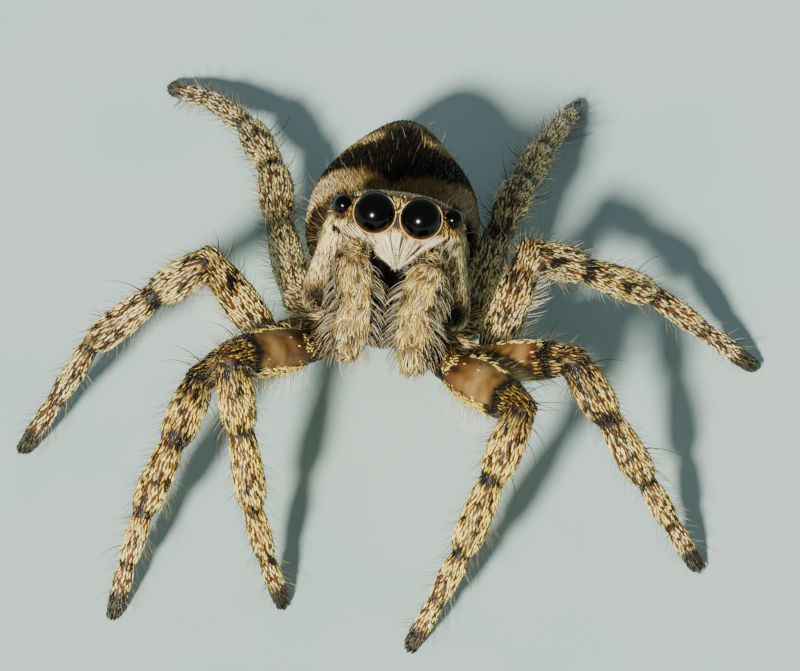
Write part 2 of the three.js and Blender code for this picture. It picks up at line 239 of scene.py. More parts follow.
def abdomen_shape(points):
    """The abdomen, an egg that narrows to its tail, in its own frame."""
    y, c, s = ball_shares(points)
    share = (1 + y) / 2
    closing = rounded_end(y, 2.5, 2)
    width = curve([0.95, 1.07, 1.04, 0.75, 0.55], share) - ABDOMEN_COAT
    height = np.where(s > 0, curve([0.9, 0.98, 0.99, 0.95, 0.88], share), 0.84) - ABDOMEN_COAT
    return np.stack([
        c * closing * width,
        y * (ABDOMEN_HALF_LENGTH - ABDOMEN_COAT),
        s * closing * height,
    ], 1)


def add_ball(bm, shape, place, around=40, along=28):
    """Adds a ball whose vertices a shape moves, its poles in front and behind."""
    upright = Matrix.Rotation(math.pi / 2, 4, "X")
    ball = bmesh.ops.create_uvsphere(bm, u_segments=around, v_segments=along, radius=1, matrix=upright)
    moved = shape(np.array([v.co for v in ball["verts"]]))
    for vert, spot in zip(ball["verts"], moved):
        vert.co = place @ Vector(spot)
    return ball["verts"]


def ellipsoid(at, half_size):
    """The shape of an ellipsoid about a point."""
    return lambda points: points * np.array(half_size) + np.array(at)


def ring(at, heading, across, radius, flat=1):
    """Matrix that carries the unit circle to a ring about a heading, with its X along across."""
    z = heading.normalized()
    x = (across - z * across.dot(z)).normalized()
    y = z.cross(x)
    turn = Matrix((x, y, z)).transposed().to_4x4()
    return Matrix.Translation(at) @ turn @ Matrix.Diagonal((radius, radius * flat, 1, 1))


def add_loft(bm, rings, sides=20):
    """Adds a closed tube through rings, by extruding one end."""
    verts = bmesh.ops.create_circle(bm, cap_ends=True, segments=sides, radius=1, matrix=rings[0])["verts"]
    cap = verts[0].link_faces[0]
    made = list(verts)
    for before, after in zip(rings, rings[1:]):
        grown = bmesh.ops.extrude_face_region(bm, geom=[cap])["geom"]
        cap = next(part for part in grown if isinstance(part, bmesh.types.BMFace))
        bmesh.ops.transform(bm, matrix=after @ before.inverted(), verts=list(cap.verts))
        made += list(cap.verts)
    return made


# The rings of a rounded end: how wide each is and how far out it stands, as shares of the radius.
DOME = [(0.25, 0.97), (0.6, 0.8), (0.88, 0.48)]


def limb_rings(points, radii, across, steps=4):
    """Rings along straight stretches that meet at points, with domes at both ends. Each stretch has
    five radii, at equal steps, and rings between them."""
    rings = []
    ways = [b - a for a, b in zip(points, points[1:])]
    start = radii[0][0]
    for share, drop in DOME:
        rings.append(ring(points[0] - ways[0].normalized() * start * drop, ways[0], across, start * share))
    for i, way in enumerate(ways):
        shares = np.linspace(0, 1, 2 * steps + 1)[: None if i == len(ways) - 1 else -1]
        for share, radius in zip(shares, curve(radii[i], shares)):
            heading = way.normalized()
            if share == 0 and i:
                heading = heading + ways[i - 1].normalized()
            rings.append(ring(points[i] + way * float(share), heading, across, float(radius)))
    end = radii[-1][-1]
    for share, drop in reversed(DOME):
        rings.append(ring(points[-1] + ways[-1].normalized() * end * drop, ways[-1], across, end * share))
    return rings


NEARLY_STRAIGHT = 0.9995


def leg_joints(base, toe, lean, bends, lengths):
    """The joints of one leg, from the femur's base to the toe, and the normal of the leg's plane. The
    leg lies in one plane, which leans over by an angle, and bends by angles below the knee."""
    headings = [0]
    for bend in bends:
        headings.append(headings[-1] - math.radians(bend))
    steps = [Vector((math.cos(h), math.sin(h))) * n for h, n in zip(headings, lengths[1:])]
    shin = sum(steps, Vector((0, 0)))
    turned = math.atan2(shin.y, shin.x)
    thigh, shank = lengths[0], shin.length
    reach = toe - base
    span = min(reach.length, (thigh + shank) * NEARLY_STRAIGHT)
    out = reach.normalized()
    up = (Vector((0, 0, 1)) - out * out.z).normalized()
    raised = up * math.cos(math.radians(lean)) + out.cross(up) * math.sin(math.radians(lean))
    angle = math.acos((thigh**2 + span**2 - shank**2) / (2 * thigh * span))
    knee = base + out * thigh * math.cos(angle) + raised * thigh * math.sin(angle)
    down = (toe - knee).normalized()
    outward = (raised - down * raised.dot(down)).normalized()
    joints = [base, knee]
    for heading, length in zip(headings, lengths[1:]):
        bend = heading - turned
        joints.append(joints[-1] + down * length * math.cos(bend) + outward * length * math.sin(bend))
    return joints, out.cross(raised).normalized()


# The hips, the lengths of femur, patella, tibia, metatarsus and tarsus, and the radii of the bare
# cuticle along each, from the front pair of legs to the back pair.
TOE_HEIGHT = 0.1
HIP_STARTS = [(0.4, 0.88, -1.24), (0.44, 1.22, -1.26), (0.42, 1.58, -1.22), (0.34, 1.92, -1.16)]
HIP_ENDS = [(0.84, 0.47, -1.65), (1.16, 0.94, -1.49), (1.27, 1.85, -1.51), (1.01, 2.26, -1.01)]
LEG_LENGTHS = [
    (1.6, 0.88, 0.96, 0.65, 0.6),
    (1.38, 0.83, 0.91, 0.6, 0.59),
    (1.51, 0.74, 1, 0.82, 0.77),
    (1.88, 0.75, 1.17, 1.13, 0.78),
]
FEMUR_RADII = [
    (0.16, 0.26, 0.29, 0.26, 0.17),
    (0.15, 0.22, 0.245, 0.22, 0.16),
    (0.15, 0.2, 0.22, 0.2, 0.15),
    (0.15, 0.19, 0.205, 0.185, 0.15),
]
SHIN_RADII = [
    (0.17, 0.2, 0.215, 0.212, 0.185),
    (0.145, 0.17, 0.185, 0.187, 0.16),
    (0.11, 0.128, 0.134, 0.13, 0.112),
    (0.098, 0.112, 0.112, 0.105, 0.09),
]
HIP_RADII = (0.2, 0.21, 0.2, 0.19, 0.17)

# How each leg stands: where its toe is, from the origin, how far the leg's plane leans over, and how
# far the leg bends at each joint below the knee.
STANCES = {
    "right": [
        ((-1.2, -4.94), 32, (0, 9, 8)),
        ((-3.14, -5.3), 19, (2, 8, 4)),
        ((-4.33, -2.5), 5, (8, 21, 0)),
        ((-2.89, 4.13), 50, (16, 14, 11)),
    ],
    "left": [
        ((0.36, -5.56), -42, (0, 8, 4)),
        ((3.63, -3.87), -2, (2, 0, 0)),
        ((4.18, -0.25), -38, (3, 15, 0)),
        ((1.94, 4.22), -2, (4, 4, 4)),
    ],
}
SIDES = {"left": 1, "right": -1}


def head_point(at, side=1):
    """A point of the front body, on the left side or, with side -1, on the right."""
    return head @ Vector((side * at[0], at[1], at[2]))


# Each part of the skin is a closed shell of its own first. Its name, joints and plane stay known, so
# that markings and hairs can follow it once the shells are one skin.
bm = bmesh.new()
parts = []


def keep_part(name, verts, **facts):
    """Notes where a part's shell is."""
    parts.append({"name": name, "spots": [v.co.copy() for v in verts], **facts})


keep_part("carapace", add_ball(bm, carapace_shape, head, around=64, along=44))
keep_part("sternum", add_ball(bm, ellipsoid((0, 1.42, -1.18), (0.36, 0.62, 0.26)), head))
lip = ellipsoid((0, 0.84, -1.2), (0.14, 0.16, 0.26))
keep_part("mouth", add_ball(bm, lip, head, around=20, along=14))
for side in SIDES.values():
    lobe = ellipsoid((side * 0.24, 0.7, -1.2), (0.17, 0.22, 0.3))
    keep_part("mouth", add_ball(bm, lobe, head, around=20, along=14))
keep_part("abdomen", add_ball(bm, abdomen_shape, abdomen, around=64, along=48))

waist = [head_point((0, 2.1, -0.86)), abdomen @ Vector((0, -1.4, -0.12))]
keep_part("waist", add_loft(bm, limb_rings(waist, [(0.2, 0.15, 0.14, 0.15, 0.2)], Vector((1, 0, 0)))))

# The spinnerets: a front pair, and behind it a more slender pair.
for side in SIDES.values():
    for across, rise, length, radius in ((0.085, -0.23, 0.26, 0.085), (0.065, -0.08, 0.32, 0.06)):
        points = [abdomen @ Vector((side * across, 1.5, rise)),
                  abdomen @ Vector((side * across * 1.3, 1.62 + length, rise))]
        radii = [(radius, radius, radius, radius * 0.9, radius * 0.7)]
        keep_part("spinnerets", add_loft(bm, limb_rings(points, radii, Vector((1, 0, 0)))))

PALP_JOINTS = [(0.56, 0.62, -1.18), (0.46, -0.12, -0.6), (0.36, -0.25, -1.12), (0.39, -0.33, -1.6)]
PALP_RADII = [
    (0.15, 0.17, 0.19, 0.21, 0.215),
    (0.215, 0.225, 0.22, 0.21, 0.2),
    (0.2, 0.215, 0.225, 0.22, 0.18),
]
for word, side in SIDES.items():
    joints = [head_point(at, side) for at in PALP_JOINTS]
    across = (joints[1] - joints[0]).cross(joints[2] - joints[1]).normalized()
    verts = add_loft(bm, limb_rings(joints, PALP_RADII, across))
    keep_part("palp", verts, joints=joints, plane=across, side=side, pair=0)
    for pair in range(4):
        base = head_point(HIP_ENDS[pair], side)
        spot, lean, bends = STANCES[word][pair]
        toe = origin + Vector((*spot, TOE_HEIGHT))
        joints, plane = leg_joints(base, toe, lean, bends, LEG_LENGTHS[pair])
        hip = [head_point(HIP_STARTS[pair], side), base]
        keep_part("coxa", add_loft(bm, limb_rings(hip, [HIP_RADII], plane)),
                  joints=hip, plane=plane, side=side, pair=pair)
        verts = add_loft(bm, limb_rings(joints[:2], [FEMUR_RADII[pair]], plane))
        verts += add_loft(bm, limb_rings(joints[1:], SHIN_RADII, plane))
        keep_part("leg", verts, joints=joints, plane=plane, side=side, pair=pair)

bmesh.ops.recalc_face_normals(bm, faces=bm.faces)
shells = bpy.data.meshes.new("shells")
bm.to_mesh(shells)
bm.free()
shell_object = bpy.data.objects.new("shells", shells)
bpy.context.scene.collection.objects.link(shell_object)

# The shells become one closed skin of facets of this size, and smoothing eases its folds.
SKIN_FACET = 0.036
union = shell_object.modifiers.new("union", "REMESH")
union.mode = "VOXEL"
union.voxel_size = SKIN_FACET
united = shell_object.evaluated_get(bpy.context.evaluated_depsgraph_get())
skin_mesh = bpy.data.meshes.new_from_object(united)
bpy.data.objects.remove(shell_object)

bm = bmesh.new()
bm.from_mesh(skin_mesh)
for _ in range(2):
    bmesh.ops.smooth_vert(bm, verts=bm.verts, factor=0.5, use_axis_x=True, use_axis_y=True, use_axis_z=True)


def noise_at(points, grain, seed=0):
    """Smooth noise from about 0 to 1 at points, with patches of about one grain, in millimetres."""
    shift = Vector((seed * 7.3, seed * 3.1, seed * 5.7))
    values = [noise.noise(Vector(p) / grain + shift) for p in points.tolist()]
    return np.clip(np.array(values) * 0.9 + 0.5, 0, 1)


def fade(values, low, high):
    """0 below low and 1 above high, with a soft step between. With low over high it falls."""
    t = np.clip((values - low) / (high - low), 0, 1)
    return t * t * (3 - 2 * t)


def bump(values, middle, width):
    """1 at the middle and 0 a few widths away."""
    return np.exp(-(((values - middle) / width) ** 2))


def local(points, place):
    """Points in the frame of the head or the abdomen."""
    inverse = np.array(place.inverted())
    return points @ inverse[:3, :3].T + inverse[:3, 3]


def turned(ways, place):
    """Directions in the head's or the abdomen's frame, as directions of the whole spider."""
    return ways @ np.array(place)[:3, :3].T


def unit(ways):
    """Each row at length 1."""
    return ways / np.maximum(np.linalg.norm(ways, axis=1, keepdims=True), 1e-9)


def on_limb(points, part):
    """For points on a limb: how many joints they are past, the angle round it from its outer ridge
    towards its front, and the limb's heading."""
    joints = np.array([list(joint) for joint in part["joints"]])
    plane = np.array(part["plane"])
    nearest = np.full(len(points), np.inf)
    course, heading, gap = np.zeros(len(points)), np.zeros_like(points), np.zeros_like(points)
    for i, (start, end) in enumerate(zip(joints, joints[1:])):
        way = end - start
        share = np.clip((points - start) @ way / (way @ way), 0, 1)
        off = points - start - share[:, None] * way
        far = np.linalg.norm(off, axis=1)
        close = far < nearest
        nearest[close] = far[close]
        course[close] = (i + share)[close]
        gap[close] = off[close]
        heading[close] = way / np.linalg.norm(way)
    front, ridge = plane * part["side"], np.cross(plane, heading)
    around = np.arctan2(gap @ front, (gap * ridge).sum(1))
    return course, around, heading


# The four eyes of one side: where each is in the head's frame, its radius, and which way it looks.
EYES = [
    ("front_middle", (0.273, EYE_SET_BACK, 0), 0.262, (0.02, -1, 0.02)),
    ("front_side", (0.648, 0.2, 0.06), 0.122, (0.3, -1, 0.1)),
    ("tiny", (0.745, 0.68, 0.13), 0.05, (1, -0.1, 0.9)),
    ("back", (0.705, 1.17, 0.16), 0.1, (1, 0.25, 0.8)),
]


def eye_gaps(spots):
    """For spots in the head's frame: the least distance past an eye's edge, the way out from that eye,
    and the eye's number in EYES."""
    gap, way, which = np.full(len(spots), np.inf), np.zeros_like(spots), np.zeros(len(spots), int)
    for i, (_, at, radius, _) in enumerate(EYES):
        for side in SIDES.values():
            off = spots - np.array([side * at[0], at[1], at[2]])
            far = np.linalg.norm(off, axis=1)
            near = far - radius < gap
            gap[near] = (far - radius)[near]
            way[near] = off[near] / far[near, None]
            which[near] = i
    return gap, way, which


# Where each part is pale, from 0 for black cuticle and hair to 1 for white, and how warm its colour
# is, from 0 for silver grey to 1 for gold. The skin and the coat share these markings. The white hair
# under the eyes ends along two lines, which rise to each side by this much for each step outwards.
BEARD_RISE = 0.55


def carapace_marks(points, part):
    """White face and cheeks, a grizzled brow, and a dark back with pale patches and a pale margin."""
    spots = local(points, head)
    x, y, z = spots.T
    out = np.abs(x)
    gap, way, which = eye_gaps(spots)
    rough, fine = noise_at(points, 0.13, 1), noise_at(points, 0.05, 2)
    brow = 0.45 + 0.6 * (rough - 0.5) + 0.6 * (fine - 0.5)
    back = 0.1 + 0.25 * (rough - 0.4)
    pale = brow + (back - brow) * fade(y, 0.95, 1.3)
    patch = bump(np.hypot((out - 0.36) / 0.2, (y - 1.5) / 0.3), 0, 0.8)
    pale = pale + (0.85 - pale) * patch
    margin = fade(z + 0.28 * y, -0.42, -0.62) * fade(y, 2.3, 1.9)
    pale = pale + (0.8 - pale) * margin
    temple = bump(z, 0.0, 0.16) * fade(y, 0.28, 0.42) * fade(y, 1.3, 1.0)
    pale = pale + (0.28 + 0.5 * (fine - 0.5) - pale) * temple
    white = np.maximum(fade(y, 0.3, 0.15) * fade(z, 0.17, 0.02), fade(z, -0.02, -0.14) * fade(y, 1.0, 0.7))
    streak = noise_at(spots * np.array([1, 1, 0.3]), 0.03, 3)
    pale = pale + (0.97 - 0.5 * fade(streak, 0.42, 0.2) - pale) * white
    warm = 0.5 - 0.16 * white + 0.3 * (rough - 0.5) + 0.4 * fade(out, 0.5, 0.84) * white
    warm += 0.45 * fade(z, -0.3, -0.16) * fade(z, 0.05, -0.1) * white
    low = fade(z, -0.72, -1.02) * fade(y, 1.3, 1.0)
    chin = fade(out, 0.5, 0.42) * fade(z - BEARD_RISE * out, -0.6, -0.66)
    pale = pale + (0.1 - pale) * np.maximum(low, chin)
    corner = fade(y, 0.35, 0.25) * bump(out, 0.5, 0.09) * fade(z, -0.22, -0.15)
    septum = fade(y, 0.3, 0.2) * fade(out, 0.05, 0.03) * fade(z, -0.2, -0.12) * fade(z, 0.14, 0.08)
    between = np.maximum(corner, septum)
    pale = pale + (0.16 + 0.24 * fade(z, 0.1, -0.05) * corner - pale) * between
    warm = warm + (1 - warm) * between
    side_eye = (which == 1) * fade(y, 0.5, 0.3)
    ring_hair = side_eye * fade(gap, 0.055, 0.04)
    below = side_eye * bump(gap, 0.07, 0.018) * fade(way[:, 2], 0.1, -0.3)
    pale = pale + (0.58 + 0.3 * (fine - 0.5) - pale) * ring_hair
    pale = pale + (0.08 - pale) * below
    warm = warm + (0.95 - warm) * ring_hair
    return pale, warm


def abdomen_marks(points, part):
    """Black, with a pale band round the front that is darker and browner at the top, partly painted shadow
    of the head, two pale bars on each side behind it, and a brown saddle on top between the bars."""
    x, y, z = local(points, abdomen).T
    share = (1 + y / ABDOMEN_HALF_LENGTH) / 2 + 0.05 * (noise_at(points, 0.25, 4) - 0.5)
    turn = np.abs(np.arctan2(x, z))
    # The band's top is darker: partly browner hair, partly painted shadow where the head shades it.
    band = fade(share, 0.31 + 0.15 * turn, 0.26 + 0.15 * turn) * (0.64 + 0.36 * fade(turn, 0.4, 1.1))
    below = fade(share, 0.22 + 0.09 * turn, 0.18 + 0.09 * turn) * fade(turn, 0.35, 0.6)
    band = band * (1 - 0.7 * below)
    bars = np.zeros(len(points))
    for middle, slope, reach in ((0.58, 0.06, 1.2), (0.86, 0.05, 0.9)):
        bar = bump(share, middle + slope * turn, 0.065)
        bars = np.maximum(bars, bar * fade(turn, reach, reach - 0.3) * fade(turn, 0.14, 0.34))
    saddle = bump(share, 0.73, 0.06) * fade(turn, 0.6, 0.4)
    belly = fade(turn, 2.0, 2.5)
    light = np.maximum.reduce([0.8 * band, 0.8 * bars, 0.45 * saddle, 0.5 * belly])
    pale = 0.1 + 0.95 * light + 0.16 * light * (noise_at(points, 0.08, 5) - 0.5)
    return pale, 0.22 + 0.28 * light + 0.15 * bars + 0.4 * saddle


def hip_patch(points, side):
    """1 on the patch of yellow scales in front of the first hip of one side, and 0 elsewhere."""
    off = (local(points, head) - np.array([side * 0.82, 0.22, -1.6])) / np.array([0.1, 0.2, 0.15])
    return fade(np.linalg.norm(off, axis=1), 1.15, 0.85)


def leg_marks(points, part):
    """Gold and cream, streaked with dark brown, with dark rings at the joints and a dark toe."""
    course, around, _ = on_limb(points, part)
    wobble = 0.05 * (noise_at(points, 0.1, 7) - 0.5)
    inner = 0.3 + 0.7 * fade(np.sin(around), -0.1, 0.6)
    pair = part["pair"]
    both = 0.4 + 0.6 * np.abs(np.sin(around)) if pair == 0 else 0.9
    near = pair < 2
    # Each ring: how many joints along the leg it is, how wide, how dark, and on which sides.
    dark = np.zeros(len(points))
    for joint, width, depth, sides in (
        (0.0, 0.2, 0.9 * near, 1), (0.8, 0.07, 0.95 if near else 0.5, 1), (1.08, 0.05, 0.5, both),
        (2.04 - 0.06 * (pair == 1), 0.13 if pair == 1 else 0.09, 1, inner), (3.04, 0.08, 0.85, both),
        (2.6, 0.05, 0.35, inner), (4.03, 0.07, 0.6, both),
    ):
        dark = np.maximum(dark, depth * sides * bump(course + wobble, joint, width))
    rows = np.stack([course * 0.4, np.cos(around) * 0.2 + pair, np.sin(around) * 0.2 + part["side"]], 1)
    streaks = noise_at(rows, 0.06, 8)
    # How pale each pair's scales are, how much darker its knees are, and how golden it is.
    full, knee, gold = ((0.86, 0.38, 0.92), (0.82, 0.42, 0.76), (0.79, 0.2, 0.55), (0.81, 0, 0.48))[pair]
    pale = full - 0.82 * dark - 0.55 * fade(streaks, 0.34, 0.22) + 0.26 * (pair == 3) * fade(course, 0.7, 0.4)
    pale -= knee * fade(course, 1.7, 1.15) * fade(course, 0.9, 1.0)
    pale -= (0.3, 0.16, 0, 0)[pair] * fade(course, 0.72, 0.78) * fade(course, 1.02, 0.96)
    toe = fade(course, 4.58, 4.76)
    pale = pale + (0.2 - pale) * toe
    warm = gold - (gold - 0.1) * toe - 0.2 * fade(course, 3.2, 4.0) + 0.25 * (noise_at(points, 0.2, 13) - 0.5)
    patch = hip_patch(points, part["side"]) * (pair == 0)
    return pale + (0.92 - pale) * patch, warm


def palp_marks(points, part):
    """Cream and tan, with brown patches, darker and greyer on the sides and back, partly grey hair and partly
    painted shade, and darker near the base.
    """
    course, around, _ = on_limb(points, part)
    patches = noise_at(points, 0.11, 9)
    # Sides and back: darker and greyer, partly grey hair, partly painted shade.
    beside = fade(np.abs(around), 2.5, 1.9)
    pale = 0.73 - 0.3 * fade(patches, 0.5, 0.25) - 0.28 * fade(course, 0.9, 0.7) - 0.28 * beside
    return pale, 0.78 + 0.9 * (noise_at(points, 0.13, 10) - 0.5) - 0.4 * beside - 0.4 * fade(course, 0.9, 0.7)


def coxa_marks(points, part):
    """The first hips are dark brown, with a patch of yellow scales in front, and the others are pale."""
    base, warm = (0.22, 0.85) if part["pair"] == 0 else (0.8, 0.55)
    patch = hip_patch(points, part["side"])
    pale = base + (0.92 - base) * patch + 0.2 * (noise_at(points, 0.08, 12) - 0.5)
    return pale, np.full(len(points), warm)


def under_marks(points, part):
    """The brown underside."""
    return 0.3 + 0.3 * (noise_at(points, 0.15, 11) - 0.5), np.full(len(points), 0.5)


MARKS = {
    "carapace": carapace_marks, "abdomen": abdomen_marks, "leg": leg_marks, "palp": palp_marks,
    "coxa": coxa_marks, "sternum": under_marks, "mouth": under_marks, "waist": under_marks,
    "spinnerets": under_marks,
}

# Each vertex of the skin belongs to the part whose shell was nearest.
nearby = KDTree(sum(len(part["spots"]) for part in parts))
owners = [i for i, part in enumerate(parts) for _ in part["spots"]]
for i, spot in enumerate(spot for part in parts for spot in part["spots"]):
    nearby.insert(spot, i)
nearby.balance()
bm.normal_update()
bm.verts.ensure_lookup_table()
skin_spots = np.array([v.co for v in bm.verts])
skin_normals = np.array([v.normal for v in bm.verts])
skin_owner = np.array([owners[nearby.find(v.co)[1]] for v in bm.verts])
bmesh.ops.triangulate(bm, faces=bm.faces)
skin_triangles = np.array([[v.index for v in face.verts] for face in bm.faces])


def bare_front(points, part):
    """1 where a foremost thigh shows smooth cuticle instead of coat, and how amber it is there: it is
    darker at both ends."""
    course, around, _ = on_limb(points, part)
    first = part["pair"] == 0
    end, wide = (0.8, 0.95) if first else (0.66, 1.25)
    facing = fade(np.abs(around - 1.2), wide + 0.1, wide - 0.1) * (1 - hip_patch(points, part["side"]))
    bare = facing * fade(course, 0.0, 0.06) * fade(course, end + 0.04, end - 0.04) * (part["pair"] < 2)
    rise = fade(course, 0.28, 0.56) if first else fade(course, 0.0, 0.2)
    return bare, bare * (0.15 + 0.85 * rise * fade(course, end + 0.02, end - 0.1))


skin_pale, skin_warm, skin_bare = (np.zeros(len(skin_spots)) for _ in range(3))
for i, part in enumerate(parts):
    mine = skin_owner == i
    skin_pale[mine], skin_warm[mine] = MARKS[part["name"]](skin_spots[mine], part)
    if part["name"] == "palp":
        skin_warm[mine] = 0.3
    if part["name"] == "leg":
        skin_warm[mine] = 0.7
        skin_bare[mine] = bare_front(skin_spots[mine], part)[1]

# Cuticle: hard, dark brown and a little glossy, paler under pale hair and amber where it is thin and
# bare. It shows between the scales and on the front of the thighs of the first two pairs of legs.
CUTICLE_GRAIN = 0.02
AMBER_CLOUD = 0.25
cuticle, tree = new_material("cuticle")
place = add(tree, "ShaderNodeTexCoord")
pale, warm, bare = (add(tree, "ShaderNodeAttribute", {"attribute_name": name})
                    for name in ("pale", "warm", "bare"))
grain = add(tree, "ShaderNodeTexNoise",
            inputs={"Vector": place.outputs["Object"], "Scale": 1 / (CUTICLE_GRAIN * MM), "Detail": 4})
cloud = add(tree, "ShaderNodeTexNoise",
            inputs={"Vector": place.outputs["Object"], "Scale": 1 / (AMBER_CLOUD * MM), "Detail": 3})
buff = add(tree, "ShaderNodeValToRGB",
           {"stops": [(0.1, "#050303"), (0.35, "#2a1c12"), (0.7, "#6e5638"), (0.95, "#a58c62")]},
           {"Fac": pale.outputs["Fac"]})
chestnut = add(tree, "ShaderNodeValToRGB",
               {"stops": [(0.1, "#070403"), (0.35, "#200e06"), (0.7, "#42200e"), (0.95, "#5e381a")]},
               {"Fac": pale.outputs["Fac"]})
lean = add(tree, "ShaderNodeMapRange",
           inputs={"Value": warm.outputs["Fac"], "From Min": 0.4, "From Max": 0.7})
dark = add(tree, "ShaderNodeMix", {"data_type": "RGBA"},
           {"Factor": lean.outputs[0], "A": buff.outputs["Color"], "B": chestnut.outputs["Color"]})
amber = add(tree, "ShaderNodeValToRGB",
            {"stops": [(0.3, "#4e3719"), (0.5, "#70572f"), (0.75, "#8a7246")]}, {"Fac": cloud.outputs["Fac"]})
tone = add(tree, "ShaderNodeMix", {"data_type": "RGBA"},
           {"Factor": bare.outputs["Fac"], "A": dark.outputs[2], "B": amber.outputs["Color"]})
gloss = add(tree, "ShaderNodeMapRange",
            inputs={"Value": grain.outputs["Fac"], "To Min": 0.45, "To Max": 0.65})
relief = add(tree, "ShaderNodeBump",
             inputs={"Height": grain.outputs["Fac"], "Strength": 0.35, "Distance": 0.006 * MM})
shell = add(tree, "ShaderNodeBsdfPrincipled",
            inputs={"Base Color": tone.outputs[2], "Roughness": gloss.outputs[0], "Specular IOR Level": 0.22,
                    "Normal": relief.outputs["Normal"]})
add(tree, "ShaderNodeOutputMaterial", inputs={"Surface": shell.outputs[0]})

skin = finished("skin", bm, cuticle)
for name, values in (("pale", skin_pale), ("warm", skin_warm), ("bare", skin_bare)):
    skin.data.attributes.new(name, "FLOAT", "POINT").data.foreach_set("value", values.astype(np.float32))
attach(skin, BODY)
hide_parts(*[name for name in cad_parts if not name.startswith(("eye_", "chelicera_"))])

# ---- Eyes -----------------------------------------------------------------------------------
# Eight fixed lenses of clear hard cuticle over dark cups: two great ones in front, one beside each,
# and two small pairs along the sides of the head. A smooth raised collar holds each.

EYE_FACETS = 48

# Eye lens: clear hard cuticle with a wet polish over a dark cup. It is black to the eye. Low in its rim a dim
# red-brown glow is painted: painted light, as light through the lens lights the cup; it starts and is full at
# these shares of the radius.
PAINTED_GLOW_STARTS = 0.8
PAINTED_GLOW_FULL = 0.95
lens, tree = new_material("eye_lens")
rim = add(tree, "ShaderNodeAttribute", {"attribute_name": "rim"})
tone = add(tree, "ShaderNodeValToRGB",
           {"stops": [(0.0, "#010102"), (0.3, "#080302"), (0.6, "#2a1004"), (0.9, "#66400f")]},
           {"Fac": rim.outputs["Fac"]})
glass = add(tree, "ShaderNodeBsdfPrincipled",
            inputs={"Base Color": tone.outputs["Color"], "Roughness": 0.16, "Specular IOR Level": 0.2})
add(tree, "ShaderNodeOutputMaterial", inputs={"Surface": glass.outputs[0]})

# Waxy collar: cream and ochre round the great eyes, near black above them and round the others.
collar, tree = new_material("waxy_eye_collar")
shade = add(tree, "ShaderNodeAttribute", {"attribute_name": "pale"})
tone = add(tree, "ShaderNodeValToRGB",
           {"stops": [(0.0, "#120a05"), (0.35, "#643a0c"), (0.6, "#987828"), (1.0, "#d8d092")]},
           {"Fac": shade.outputs["Fac"]})
wax = add(tree, "ShaderNodeBsdfPrincipled",
          inputs={"Base Color": tone.outputs["Color"], "Roughness": 0.5, "Specular IOR Level": 0.2})
add(tree, "ShaderNodeOutputMaterial", inputs={"Surface": wax.outputs[0]})

# The rings of each collar: how far up its lens it sits, as a share of the radius, how thick it is, and
# how pale it is at its inner and its outer side, below and above.
COLLARS = {
    "front_middle": [(0.33, 0.0055, (0.8, 0.72, 0.7, 0.0)), (0.25, 0.009, (0.0, 0.25, 0.0, 0.0))],
    "front_side": [(0.3, 0.006, (0.15, 0.0, 0.12, 0.0)), (0.1, 0.008, (0.2, 0.0, 0.2, 0.0))],
    "tiny": [(0.4, 0.006, (0, 0, 0, 0))],
    "back": [(0.4, 0.007, (0, 0, 0, 0))],
}
rims = bmesh.new()
rim_pale = rims.verts.layers.float.new("pale")
for word, side in SIDES.items():
    for name, at, radius, looks in EYES:
        axis = Vector(turned(np.array([[side * looks[0], looks[1], looks[2]]]), head)[0]).normalized()
        place = ring(head_point(at, side), axis, Vector((1, 0, 0)), 1)
        bm = bmesh.new()
        bmesh.ops.create_uvsphere(bm, u_segments=EYE_FACETS, v_segments=EYE_FACETS, radius=radius)
        # Painted light: a red-brown glow painted low in each lens's rim, where light through the lens would
        # light the cup.
        painted_glow = []
        for v in bm.verts:
            out = math.hypot(v.co.x, v.co.y) / radius if v.co.z > 0 else 1
            low = min(1, max(0, 0.45 - v.co.y / radius - 0.3 * side * v.co.x / radius))
            shine = min(1, max(0, out - PAINTED_GLOW_STARTS) / (PAINTED_GLOW_FULL - PAINTED_GLOW_STARTS))
            painted_glow.append(shine * low * (1 if name == "front_middle" else 0.4))
        bmesh.ops.transform(bm, matrix=place, verts=bm.verts)
        eye = finished(f"lens_{name}_{word}", bm, lens)
        eye.data.attributes.new("rim", "FLOAT", "POINT").data.foreach_set("value", painted_glow)
        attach(eye, BODY)
        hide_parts(f"eye_{name}_{word}")
        for rise, thickness, (inner, outer, below, above) in COLLARS[name]:
            girth = radius * math.sqrt(1 - rise**2) + thickness * 0.5
            old = set(rims.verts)
            section = Matrix.Translation((girth, 0, radius * rise)) @ Matrix.Rotation(math.pi / 2, 4, "X")
            circle = bmesh.ops.create_circle(rims, segments=10, radius=thickness, matrix=section)["verts"]
            edges = list({edge for vert in circle for edge in vert.link_edges})
            bmesh.ops.spin(rims, geom=circle + edges, cent=(0, 0, 0), axis=(0, 0, 1),
                           angle=2 * math.pi, steps=EYE_FACETS, use_merge=True)
            fresh = [v for v in rims.verts if v not in old]
            for v in fresh:
                across, up = side * v.co.x / girth, v.co.y / girth
                level = max(0, across) * outer + max(0, -across) * inner + max(0, -up) * below
                level = level / (abs(across) + max(0, -up) + 1e-6)
                upper = min(1, max(0, (up - 0.62 - 0.2 * max(0, -across)) / 0.15))
                v[rim_pale] = level + (above - level) * upper
            bmesh.ops.transform(rims, matrix=place, verts=fresh)
bmesh.ops.recalc_face_normals(rims, faces=rims.faces)
rims = finished("eye_collars", rims, collar)
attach(rims, BODY)

# ---- Jaws -----------------------------------------------------------------------------------
# The two jaws hang under the face: a stout hard base each, black and glossy, with a curved fang
# folded across its tip.

JAW_JOINTS = [(0.2, 0.27, -0.4), (0.21, 0.24, -0.8), (0.2, 0.3, -1.26)]
JAW_RADII = [(0.17, 0.185, 0.19, 0.195, 0.195), (0.195, 0.19, 0.175, 0.16, 0.13)]
FANG_JOINTS = [(0.24, 0.2, -1.3), (0.2, 0.12, -1.4), (0.1, 0.12, -1.43)]
FANG_RADII = [(0.06, 0.055, 0.05, 0.045, 0.04), (0.04, 0.03, 0.022, 0.012, 0.006)]

